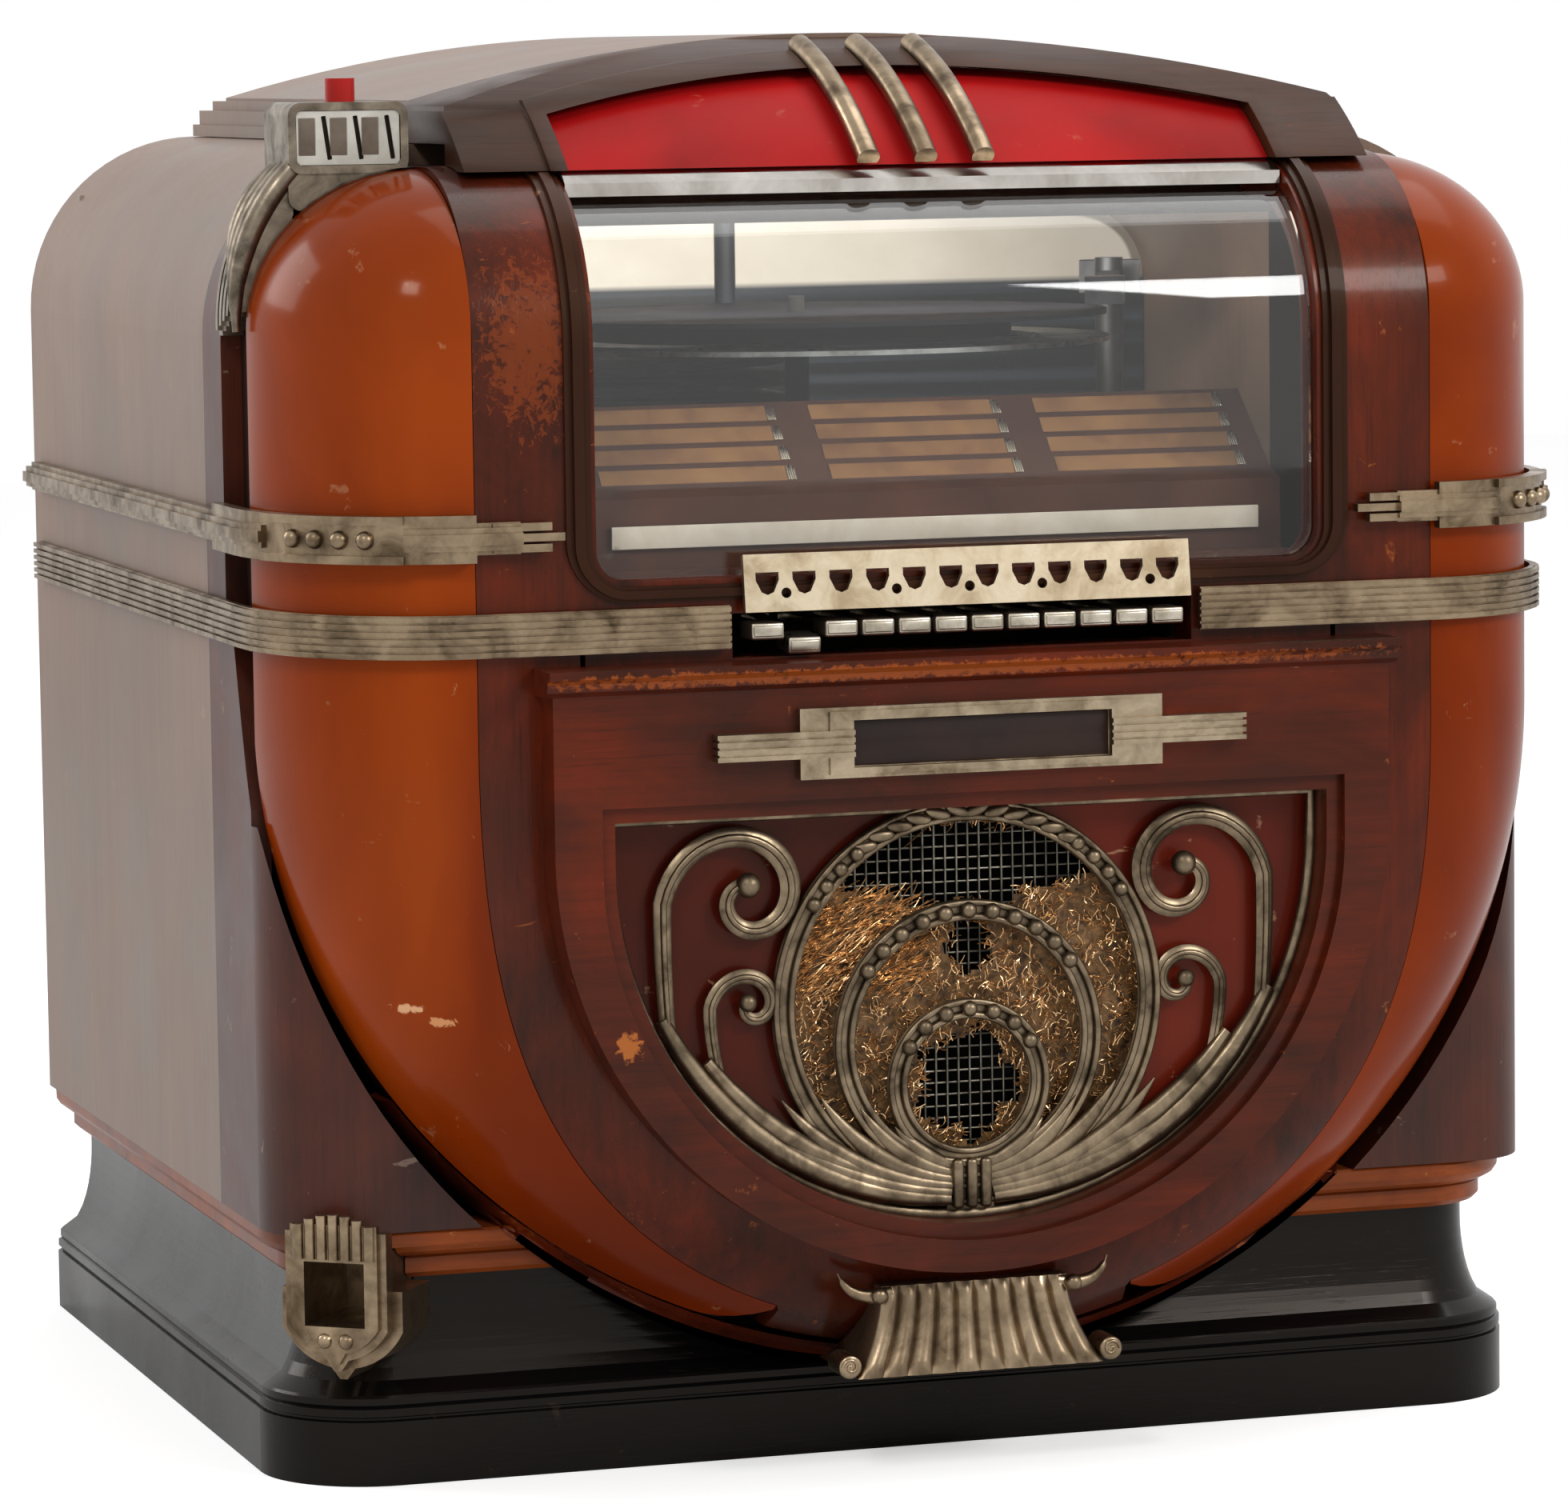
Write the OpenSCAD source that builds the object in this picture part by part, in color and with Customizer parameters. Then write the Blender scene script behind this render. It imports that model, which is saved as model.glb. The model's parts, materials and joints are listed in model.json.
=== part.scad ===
// Tabletop jukebox with twelve selections.
// Frame: X to the right as seen from the front, Y to the back, Z up, millimetres.
// The origin is the middle of the plinth, on the surface that it stands on.

/* [Base] */
// How far the plinth stands in from the cabinet's side
plinth_in = 2; // [0:0.5:5]
// Depth of the plinth
plinth_d = 428; // [410:1:450]
// Radius of the plinth's front corners
plinth_r = 45; // [40:1:50]
// Height of the plinth's plain face
plinth_h = 25; // [20:1:30]
// How far the hollow moulding draws the base in
cove_in = 16; // [12:1:20]
// Height of the whole base
base_h = 79; // [74:1:84]
// Height of the striped moulding on the base
stripe_h = 19; // [16:1:22]
// Wall of the base
base_wall = 58; // [50:1:70]
// Thickness of the base's bottom board
base_floor = 12; // [8:1:18]

/* [Cabinet] */
// Width of the cabinet
body_w = 524; // [514:1:530]
// Height of the cabinet's flat top
body_top = 514; // [508:1:524]
// Radius of the cabinet's shoulders
shoulder_r = 74; // [60:1:80]
// Thickness of the cabinet boards
board = 16; // [12:1:18]
// Radius of the lower front corners
lower_corner_r = 30; // [15:1:40]
// Depth of the recess behind the pilasters
recess_d = 35; // [33:1:40]
// How far the recess is set in from the side
recess_in = 8; // [5:1:12]
// Thickness of the back door
back_door_t = 10; // [8:1:14]
// Diameter of the back door's pivot pins
door_pin_dia = 6; // [5:0.5:7]

/* [Front] */
// Distance from the middle to the front wood face
front_d = 266; // [260:1:272]
// Distance from the middle to the back of the pilasters
flank_d = 185; // [180:1:190]
// How far the pilasters stand in from the cabinet's side
step_in = 2; // [1:0.5:4]
// Thickness of the wood front
front_t = 18; // [14:1:22]
// Radius where the wood front turns back
brow_r = 68; // [60:1:72]
// Height where the wood front starts to turn back
brow_z = 438; // [430:1:444]
// Height of the joint between upper and lower wood
front_joint_z = 331; // [328:1:334]
// Width of the wood beside the window
window_side = 47; // [43:1:60]
// Height of the window's sill
window_z = 350; // [346:1:354]
// Width of the window's ribbed trim
trim_w = 12; // [8:1:14]
// Width of the trim below the window
trim_foot = 8; // [6:1:9]
// Thickness of the window glass
glass_t = 3; // [2:0.5:4]

/* [Pilasters] */
// Width of a pilaster seen from the front
pilaster_w = 67; // [60:1:70]
// Thickness of the moulded plastic
plastic_t = 4; // [3:0.5:5]
// Height where the upper pilasters start to round over
dome_z = 445; // [440:1:450]
// Height of the rounded tops
dome_h = 60; // [56:1:62]
// Height where the lower pilasters start to curve in
turn_z = 287; // [282:1:292]
// Drop of the lower curve
turn_h = 256; // [252:1:258]
// Narrowest width of the lower wood and plastic band
tail_w = 23; // [20:1:26]
// Angle at which the lower pilasters end
tail_angle = 72; // [66:1:76]

/* [Bands] */
// Height of the lower ribbed band
band_h = 16.5; // [14:0.5:18]
// Height of the lower band's lower edge
band_z = 323.5; // [322:0.5:325]
// Number of ribs on the lower band
band_ribs = 6; // [4:1:8]
// How far the bands stand off the cabinet
band_t = 6; // [4:0.5:8]
// Height of the middle of the upper band
rod_z = 368.5; // [365:0.5:372]
// Diameter of the upper band's rod
rod_d = 12; // [10:0.5:14]
// How far the upper band's rods run in over the wood front
rod_lap = 33; // [27:1:37]
// How far both bands stop short of the back
band_back_gap = 13; // [8:1:20]

/* [Selector] */
// Number of keys
keys = 12; // [12:12]
// Distance from key to key
key_pitch = 14.7; // [14.2:0.1:14.8]
// Width of a key
key_w = 13.2; // [12:0.1:13.6]
// Thickness of a key at its front
key_h = 6.5; // [5:0.5:7]
// Height of the keys' shaft
shaft_z = 330; // [328:0.5:332]
// Distance from the wood face back to the keys' shaft
shaft_back = 61; // [56:1:66]
// Diameter of the keys' shaft
shaft_dia = 5; // [4:0.5:6]
// Running clearance on the shaft, on the radius
run_gap = 0.06; // [0.03:0.01:0.09]
// Turn of a key that is pressed, in degrees
key_press = 5; // [4:0.5:5]
// Half width of the key slot
slot_half = 93; // [92:0.5:96]
// Height of the key slot
slot_h = 17; // [15:0.5:18]
// Half width of the selector plate
plate_half = 90; // [88:0.5:92]
// Height of the selector plate
plate_h = 22; // [19:0.5:24]
// Thickness of the selector plate
plate_t = 3; // [2:0.5:4]

/* [Lower panel] */
// Width of the wood beside the lower panel
panel_side = 24.4; // [21:0.1:28]
// Height of the lower panel's top edge
panel_top = 318.7; // [317:0.1:319.5]
// From the lower end of the wood curve up to the panel
panel_foot = 49.4; // [46:0.2:54]
// How far the panel stands off the wood front
panel_t = 16; // [12:1:18]
// Width of the panel beside the speaker opening
frame_w = 24.6; // [22:0.1:30]
// From the panel's top edge down to the speaker opening
frame_head = 58.7; // [55:0.1:64]
// How much lower the opening's curve has its middle than the panel's
frame_drop = 6; // [4:1:8]
// Thickness of the grille casting
grille_t = 5; // [4:0.5:7]

/* [Lid] */
// Height of the lid's crown
lid_top = 555; // [550:1:560]
// Radius of the lid's arch across the cabinet
arch_r = 640; // [600:5:700]
// How far the lid's top board stands in from the front's edge
lid_in = 18; // [15:1:22]
// How far the lid's front cap stands in from the front's edge
cap_in = 9; // [6:1:12]
// Where the cap meets the top board, from the middle
cap_seam_d = 110; // [105:1:120]
// Radius of the cap's front, seen from the side
cap_r = 217.5; // [212:0.5:222]
// Thickness of the lid's boards
lid_t = 9; // [7:0.5:12]
// Distance from the wood face back to the middle of the cap's curve
cap_back = 179; // [174:1:184]
// Width of the lid above the red panel
red_brow = 13; // [10:1:16]
// Distance between the lid's fins
fin_pitch = 23.4; // [20:0.1:26]
// Width of a fin
fin_w = 9; // [7:0.5:11]
// Angle from the cap's crown to the fins' lower ends
fin_low = 39.6; // [38:0.2:40]
// Angle from the cap's crown to the fins' upper ends
fin_high = 14.5; // [13:0.5:17]

/* [Mechanism] */
// Radius of a record
record_r = 127; // [124:1:127]
// Height of the record that plays
record_z = 440; // [436:1:442]
// Thickness of a record
record_t = 2; // [1.5:0.5:2.5]
// Distance from the middle to the turntable's axis
spindle_d = 60; // [57:1:60]
// Radius of the turntable
turntable_r = 88; // [80:1:90]
// Thickness of the turntable
turntable_t = 8; // [6:1:10]
// Radius of the turntable's shaft
shaft_r = 5; // [4:0.5:6]
// Height of the mechanism plate's top
deck_z = 300; // [292:1:304]
// Thickness of the mechanism plate
deck_t = 3; // [2:0.5:5]
// Number of trays in the stack
trays = 11; // [8:11]
// Distance from tray to tray
tray_pitch = 9; // [8:0.5:9.5]
// Thickness of a tray
tray_t = 2; // [1.5:0.5:2.5]
// Width of a tray's ring
tray_w = 26; // [20:1:30]
// Distance from the playing tray to the stack, sideways
stack_dx = 112; // [108:1:115]
// Distance from the playing tray to the stack, backwards
stack_dy = 80; // [78:1:84]
// Radius of the post that the trays swing on
post_r = 4.5; // [3.5:0.5:5]
// Radius of the tone arm's post
arm_post_r = 6; // [5:0.5:8]
// Diameter of the loudspeaker's frame
speaker_dia = 164; // [150:1:170]
// Height of the loudspeaker's middle
speaker_z = 190; // [184:1:196]
// Thickness of the loudspeaker's board
baffle_t = 12; // [9:1:15]

/* [Hidden] */
$fn = 64;
gap = 0.3;
side = body_w / 2;
plinth_w = body_w - 2 * plinth_in;
front_half = side - step_in - pilaster_w;
window_half = front_half - window_side;
rod_end = front_half - rod_lap;
panel_half = front_half - panel_side;
grille_half = panel_half - frame_w;
lid_half = front_half - lid_in;
cap_half = front_half - cap_in;
red_half = window_half - 2;
body_z = base_h + 0.2 + stripe_h + 0.3;
back_y = plinth_d / 2;
front_y = -front_d;
flank_y = -flank_d;
lower_y = -back_y;
side_y = flank_y + recess_d;
bow_d = front_d - flank_d;
path_a = front_half + pilaster_w;
path_low = turn_z - turn_h;
panel_mid = path_low + panel_foot + panel_half;
grille_mid = panel_mid - frame_drop;
grille_low = grille_mid - grille_half;
grille_top = panel_top - frame_head;
shaft_y = front_y + shaft_back;
panel_y = front_y - gap - panel_t;
brow_y = front_y + brow_r;
cap_y = front_y + cap_back;
rebate = 4;
batten = 14;
door_top = body_top - shoulder_r + 20;
deck_front = side_y + 10;
deck_back = back_y - back_door_t - 14;
cap_z = lid_top - cap_r - 0.5;
arch_z = lid_top - arch_r;
cut_r = side + 1.5;
cut_z = turn_z + 3;
tip_z = cut_z - 35;
shoulder_x = side - shoulder_r;
window_r = 12;
pressed_key = 1;
key_names = ["01", "02", "03", "04", "05", "06", "07", "08", "09", "10", "11", "12"];

// Shapes that many pieces share

module both_sides() {
    children();
    mirror([1, 0, 0]) children();
}

// Stands a drawing of the front up and runs it from y0 to y1
module along_y(y0, y1) {
    translate([0, y1, 0]) rotate([90, 0, 0]) linear_extrude(y1 - y0) children();
}

// Stands a drawing of the side up and runs it from x0 to x1
module along_x(x0, x1) {
    translate([x0, 0, 0]) rotate([90, 0, 90]) linear_extrude(x1 - x0) children();
}

module box(low, high) {
    translate(low) cube(high - low);
}

// A closed skin through rings that all have the same number of points
module loft(rings, flip = false) {
    n = len(rings[0]);
    points = [for (ring = rings) each ring];
    walls = [for (i = [0 : len(rings) - 2], j = [0 : n - 1])
        each let (a = i * n + j, b = i * n + (j + 1) % n, c = b + n, d = a + n) [[a, b, c], [a, c, d]]];
    ends = [[for (j = [n - 1 : -1 : 0]) j], [for (j = [0 : n - 1]) (len(rings) - 1) * n + j]];
    faces = concat(walls, ends);
    polyhedron(points, flip ? faces : [for (f = faces) [for (k = [len(f) - 1 : -1 : 0]) f[k]]]);
}

// Outline of the cabinet seen from the front, drawn in by a margin
module body_outline(margin, low) {
    r = shoulder_r - margin;
    difference() {
        union() {
            translate([-side + margin, low]) square([body_w - 2 * margin, body_top - shoulder_r - low]);
            translate([-shoulder_x, low]) square([2 * shoulder_x, body_top - margin - low]);
            for (s = [-1, 1]) translate([s * shoulder_x, body_top - shoulder_r]) circle(r);
        }
        translate([-side, low - 2 * shoulder_r]) square([body_w, 2 * shoulder_r]);
    }
}

// Plan of the cabinet with its two front corners rounded
module plan(half, front, back, r) {
    translate([-half, front + r]) square([2 * half, back - front - r]);
    translate([-half + r, front]) square([2 * (half - r), r + 1]);
    for (s = [-1, 1]) translate([s * (half - r), front + r]) circle(r);
}

// Half profile of a moulding run round the front and both sides
module round_front(points) {
    bend = plinth_w / 2 - plinth_r;
    bend_y = -plinth_d / 2 + plinth_r;
    both_sides() {
        along_y(bend_y, back_y) translate([bend, 0]) polygon(points);
        translate([bend, bend_y, 0]) rotate([0, 0, -90]) rotate_extrude(angle = 90) polygon(points);
    }
    along_x(-bend, bend) translate([bend_y, 0]) mirror([1, 0]) polygon(points);
}

// Base

function cove_point(t) = [
    plinth_r - cove_in + (cove_in - 2) * (1 - sqrt(1 - pow(1 - t, 2))),
    plinth_h + 10 + t * (base_h - plinth_h - 17)
];

module base_form(margin) {
    bead = [
        [plinth_r, 0], [plinth_r, plinth_h],
        [plinth_r - 1.4, plinth_h + 0.6], [plinth_r - 1.4, plinth_h + 1.4],
        [plinth_r - 0.2, plinth_h + 2], [plinth_r - 0.2, plinth_h + 5], [plinth_r - 1.6, plinth_h + 5.6],
        [plinth_r - 1.2, plinth_h + 6.4], [plinth_r - 1.2, plinth_h + 9]
    ];
    cove = [for (t = [0 : 0.125 : 1]) cove_point(t)];
    outline = concat(bead, cove, [[plinth_r - cove_in, base_h]]);
    bend = plinth_w / 2 - plinth_r;
    bend_y = -plinth_d / 2 + plinth_r;
    round_front(concat([[0, 0]], [for (p = outline) p + [margin, 0]], [[0, base_h]]));
    box([-bend, bend_y, 0], [bend, back_y, base_h]);
}

module base_plinth() color("#1c1c1c") {
    difference() {
        base_form(0);
        box([-plinth_w / 2 + base_wall, -plinth_d / 2 + base_wall, base_floor],
            [plinth_w / 2 - base_wall, back_y - 20, base_h + 1]);
        coin_pocket();
    }
}

module base_stripe() color("#a8541c") {
    inner = 14;
    low = base_h + 0.2;
    r0 = plinth_r - cove_in + 7.5;
    rib = stripe_h / 2;
    profile = [
        [inner, low], [r0 - 2, low], [r0, low + 2], [r0, low + rib - 1.8], [r0 - 1, low + rib - 0.6],
        [r0 + 3, low + rib - 0.2], [r0 + 6, low + rib + 1.5], [r0 + 7.6, low + rib + 4],
        [r0 + 7.8, low + stripe_h - 1], [r0 + 7, low + stripe_h], [inner, low + stripe_h]
    ];
    difference() {
        union() {
            round_front(profile);
            box([-plinth_w / 2 + plinth_r - 1, back_y - 20, low],
                [plinth_w / 2 - plinth_r + 1, back_y, low + stripe_h]);
        }
        coin_pocket();
    }
}

// Cabinet

module cut_disc(extra) {
    translate([0, cut_z]) circle(cut_r + extra, $fn = 128);
}

side_edge_low = tip_z + 6;
side_edge_top = front_joint_z - 4;
side_edge = [for (t = [0 : 0.2 : 1])
    [flank_y + 2 * gap + (recess_d - 11) * pow(t, 0.85),
        side_edge_low + (side_edge_top - side_edge_low) * t]];

module cabinet_shell() color("#8a6a55") {
    difference() {
        union() {
            along_y(side_y, back_y) difference() {
                body_outline(0, body_z);
                body_outline(board, body_z + board);
            }
            intersection() {
                along_y(lower_y, side_y + 1) difference() {
                    translate([-side, body_z]) square([body_w, tip_z - body_z]);
                    cut_disc(0);
                }
                translate([0, 0, body_z]) linear_extrude(cut_z)
                    plan(side, lower_y, back_y, lower_corner_r);
            }
            // Front edge of the sides, which draws back beside the pilasters
            both_sides() along_x(side - recess_in + gap, side)
                polygon(concat([[side_y + 1, tip_z - 20], [flank_y + 2 * gap, tip_z - 20]], side_edge,
                    [[side_y + 1, side_edge_top]]));
            // Rail over the back door
            along_y(back_y - board, back_y) intersection() {
                body_outline(board - 1, body_z);
                translate([-side, door_top]) square([body_w, body_top]);
            }
            // Battens under the mechanism plate
            both_sides() box([side - board - batten, deck_front, deck_z - deck_t - batten],
                [side - board + 1, deck_back, deck_z - deck_t]);
        }
        // Hatch under the lid
        box([-lid_half + 12, side_y - 1, body_top - board - 10], [lid_half - 12, back_y - 38, body_top + 1]);
        // Rebate for the back door
        box([-side + board - rebate, back_y - back_door_t - 1, body_z + board - rebate],
            [side - board + rebate, back_y + 1, door_top]);
        back_pivots(run_gap, 1);
        coin_pocket();
    }
}

// Frame behind the front, seen as a dark recess, with the loudspeaker's board across it
module front_bulkhead() color("#15100d") {
    half = front_half - 21;
    along_y(flank_y, side_y - 0.2) difference() {
        intersection() {
            body_outline(recess_in, body_z + gap);
            union() {
                cut_disc(-recess_in);
                translate([-side, cut_z]) square([body_w, body_top]);
            }
        }
        translate([-half, body_z + board])
            square([2 * half, body_top - 2 * board - 2 * recess_in - body_z]);
    }
    along_y(flank_y, flank_y + baffle_t) difference() {
        translate([-half - 1, body_z + board - 1])
            square([2 * half + 2, deck_z - deck_t - 3 - body_z - board]);
        translate([0, speaker_z]) circle(speaker_dia / 2 - 8);
    }
}

// Lower front: the band that carries the plastic follows one curve

function path_at(f) = [path_a * cos(f), turn_z - turn_h * sin(f)];
function normal_at(f) = let (n = [cos(f) / path_a, sin(f) / turn_h]) [-n[0], n[1]] / norm(n);
function bow_y(u) = flank_y - bow_d * sqrt(max(0, 1 - pow(max(0, 1 - u / pilaster_w), 2)));
function bow_angle(u) = acos(max(0, min(1, 1 - u / pilaster_w)));
function outer_u(f) = 13 * pow(sin(f), 2) + 10 * pow(max(0, f - tail_angle + 6) / 6, 2);
function inner_u(f) = tail_w + (pilaster_w - tail_w) * pow(max(0, cos(f)), 3.2);
function wood_u(f) = f <= tail_angle ? inner_u(f) : 22;
function hem_u(f) = f <= tail_angle ? max(outer_u(f), 2) + 1 : 13.5;
function spot(f, u, y) = let (p = path_at(f) + u * normal_at(f)) [p[0], y, p[1]];

// Points of a plastic section: outside from rim to wood, then back along the inside
function plastic_ring(f, u0, u1) = let (a0 = bow_angle(u0), a1 = bow_angle(u1), n = 7)
    concat(
        [for (k = [0 : n]) let (a = a0 + (a1 - a0) * k / n)
            spot(f, pilaster_w * (1 - cos(a)), flank_y - bow_d * sin(a))],
        [for (k = [n : -1 : 0]) let (a = a0 + (a1 - a0) * k / n)
            spot(f, pilaster_w - (pilaster_w - plastic_t) * cos(a), flank_y - (bow_d - plastic_t) * sin(a))]
    );

function shift_z(ring, dz) = [for (p = ring) [p[0], p[1], p[2] + dz]];

module lower_plastic() {
    steps = 12;
    top = front_joint_z - gap - turn_z;
    full = plastic_ring(0, 0, pilaster_w - gap);
    curve = [for (k = [0 : steps]) let (f = tail_angle * k / steps)
        plastic_ring(f, outer_u(f), max(outer_u(f) + 0.8, inner_u(f) - gap))];
    loft(concat([shift_z(full, top)], curve));
}

module pilaster_lower_right() color("#b3540f") lower_plastic();
module pilaster_lower_left() color("#b3540f") mirror([1, 0, 0]) lower_plastic();

// Upper pilasters: a bowed column that ends in a rounded top
function dome_ring(f, inset) = let (n = 9,
        w = pilaster_w - gap - inset, d = bow_d - inset, h = dome_h - inset)
    [for (k = [0 : n]) let (a = 90 * k / n)
        [front_half + gap + w * cos(f) * cos(a), flank_y - d * cos(f) * sin(a), dome_z + h * sin(f)]];

module dome_solid(inset) {
    steps = 8;
    lift = front_joint_z + gap - dome_z;
    base = [for (k = [0 : steps]) dome_ring(88 * k / steps, inset)];
    rings = concat([shift_z(base[0], lift)], base);
    loft([for (ring = rings) concat(ring, [[front_half + gap, flank_y, ring[0][2]]])], flip = true);
}

module upper_plastic() {
    difference() {
        dome_solid(0);
        translate([-plastic_t, plastic_t, -plastic_t]) intersection() {
            translate([2 * plastic_t, -0.1, 0]) dome_solid(plastic_t);
            box([0, -400, 0], [400, 0, 600]);
        }
    }
}

module pilaster_upper_right() color("#b3540f") upper_plastic();
module pilaster_upper_left() color("#b3540f") mirror([1, 0, 0]) upper_plastic();

// Wood under and inside the plastic, as one section run round the path
function inside_u(f) = 104 - 44 * pow(sin(f), 2);
function wood_ring(f) = let (
        lip = wood_u(f), hem = hem_u(f), a0 = bow_angle(hem), a1 = bow_angle(lip),
        under = f <= tail_angle ? plastic_t + gap : gap, n = 6, in = inside_u(f)
    )
    concat(
        [spot(f, in, flank_y - gap)],
        [for (k = [0 : n]) let (u = in + (lip - in) * (1 - pow(1 - k / n, 2))) spot(f, u, bow_y(u))],
        [for (k = [4 : -1 : 0]) let (a = a0 + (a1 - a0) * k / 4)
            spot(f, pilaster_w - (pilaster_w - under) * cos(a), flank_y - (bow_d - under) * sin(a))],
        [spot(f, hem + under, flank_y - gap)]
    );

function mirrored(ring) = [for (p = ring) [-p[0], p[1], p[2]]];

module lower_surround() color("#5c2414") {
    top = front_joint_z - gap - turn_z;
    half = concat([shift_z(wood_ring(0), top)],
        [for (f = [0 : 6 : 66]) wood_ring(f)], [wood_ring(tail_angle), wood_ring(tail_angle + 0.5)],
        [for (f = [78 : 6 : 84]) wood_ring(f)]);
    rings = concat(half, [wood_ring(90)], [for (k = [len(half) - 1 : -1 : 0]) mirrored(half[k])]);
    difference() {
        loft(rings);
        box([-side, lower_y - 0.8, -1], [side, 0, body_z + 0.5]);
    }
    // Thin rim below the plastic
    rim = [for (f = [32 : 6 : 86]) rim_ring(f)];
    difference() {
        loft(concat(rim, [rim_ring(90)], [for (k = [len(rim) - 1 : -1 : 0]) mirrored(rim[k])]));
        box([-side, lower_y - 0.8, -1], [side, 0, body_z + 0.5]);
    }
}

function rim_ring(f) = let (u1 = outer_u(min(f, 60)) - 0.6 + 2.4 * max(0, sin(f) - sin(60)) / (1 - sin(60)))
    [spot(f, 0.8, flank_y - gap), spot(f, u1, flank_y - gap), spot(f, u1, bow_y(u1)),
        spot(f, u1 * 0.6, bow_y(u1 * 0.6)), spot(f, u1 * 0.3, bow_y(u1 * 0.3)), spot(f, 0.8, bow_y(0.8))];

// Upper front

module front_profile(inset, low) {
    r = brow_r - inset;
    translate([front_y + inset, low]) square([2 * brow_r, brow_z - low]);
    intersection() {
        translate([brow_y, brow_z]) circle(r, $fn = 96);
        translate([brow_y - r, brow_z]) square([r, r]);
    }
    translate([brow_y, brow_z - 1]) square([brow_r, r + 1]);
}

module front_skin(outer, inner, low, half) {
    along_x(-half, half) difference() {
        front_profile(outer, low);
        front_profile(inner, low - 1);
        translate([flank_y, 0]) square([300, 700]);
    }
}

module window_outline(grow, drop) {
    half = window_half + grow;
    low = window_z - drop;
    r = window_r + grow;
    translate([-half, low + r]) square([2 * half, 300]);
    translate([-half + r, low]) square([2 * (half - r), r + 1]);
    for (s = [-1, 1]) translate([s * (half - r), low + r]) circle(r);
}

module front_frame() color("#5c2414") {
    tongue = front_half - 42;
    difference() {
        front_skin(0, front_t, front_joint_z - 31, front_half);
        for (s = [0, 1]) mirror([s, 0, 0])
            box([tongue, front_y - 1, front_joint_z - 32], [side, 0, front_joint_z]);
        along_y(front_y - 1, 0) window_outline(0, 0);
        box([-slot_half, front_y - 1, slot_z], [slot_half, 0, slot_z + slot_h]);
    }
}

slot_z = panel_top + 0.8;

module window_trim() color("#3a2417") {
    for (layer = [[-1.6, 2, 2, 0], [-3.4, 5, 3.4, 3]]) intersection() {
        front_skin(layer[0], 0, window_z - 30, window_half + trim_w);
        along_y(front_y - 4, side_y) difference() {
            window_outline(trim_w - layer[3], trim_foot - layer[3] / 2);
            window_outline(layer[1], layer[2]);
        }
        box([-side, -400, 0], [side, 0, cap_low - gap]);
    }
}

module window_glass() color("#cfd8d6", 0.35) {
    intersection() {
        front_skin(front_t * 0.3, front_t * 0.3 + glass_t, window_z - 30, window_half - 0.5);
        along_y(front_y - 4, -150) window_outline(-0.5, -0.5);
        box([-side, -400, 0], [side, 0, brow_z + 56]);
    }
}

module chrome_strip() color("#d8dadd") {
    high = cap_low - gap - brow_z;
    low = 56;
    translate([-window_half + gap, brow_y, brow_z]) rotate([0, 90, 0]) intersection() {
        difference() {
            cylinder(r = brow_r + 1, h = 2 * (window_half - gap), $fn = 96);
            translate([0, 0, -1]) cylinder(r = brow_r - 6, h = 2 * window_half, $fn = 96);
        }
        translate([-high, -32, -1]) cube([high - low, 12, 2 * window_half]);
    }
}

// Bands

function wrap_ring(grow, z, from_a, to_a, n) = [for (k = [0 : n]) let (a = from_a + (to_a - from_a) * k / n)
    [front_half + (pilaster_w + grow) * cos(a), flank_y - (bow_d + grow) * sin(a), z]];

// A flat plan of a band that wraps a pilaster, between two offsets and two angles
module wrap_part(g0, g1, a0, a1) {
    outer = [for (p = wrap_ring(g1, 0, a0, a1, 12)) [p[0], p[1]]];
    inner = [for (p = wrap_ring(g0, 0, a1, a0, 12)) [p[0], p[1]]];
    polygon(concat(outer, inner));
}

module wrap_plan(g0, g1, end_x) {
    wrap_part(g0, g1, 0, 90);
    translate([path_a + g0, flank_y - 0.1]) square([g1 - g0, back_y - band_back_gap - flank_y + 0.1]);
    translate([end_x, front_y - g1]) square([front_half - end_x + 0.1, g1 - g0]);
}

module lower_band() {
    rib = band_h / band_ribs;
    stand = side - path_a + gap;
    for (k = [0 : band_ribs - 1]) {
        translate([0, 0, band_z + k * rib]) linear_extrude(rib)
            wrap_plan(stand, band_t - 1.6, slot_half + 2);
        translate([0, 0, band_z + k * rib + 0.5]) linear_extrude(rib - 1)
            wrap_plan(band_t - 1.7, band_t, slot_half + 2);
    }
}

module lower_band_right() color("#a39c86") lower_band();
module lower_band_left() color("#a39c86") mirror([1, 0, 0]) lower_band();

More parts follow.
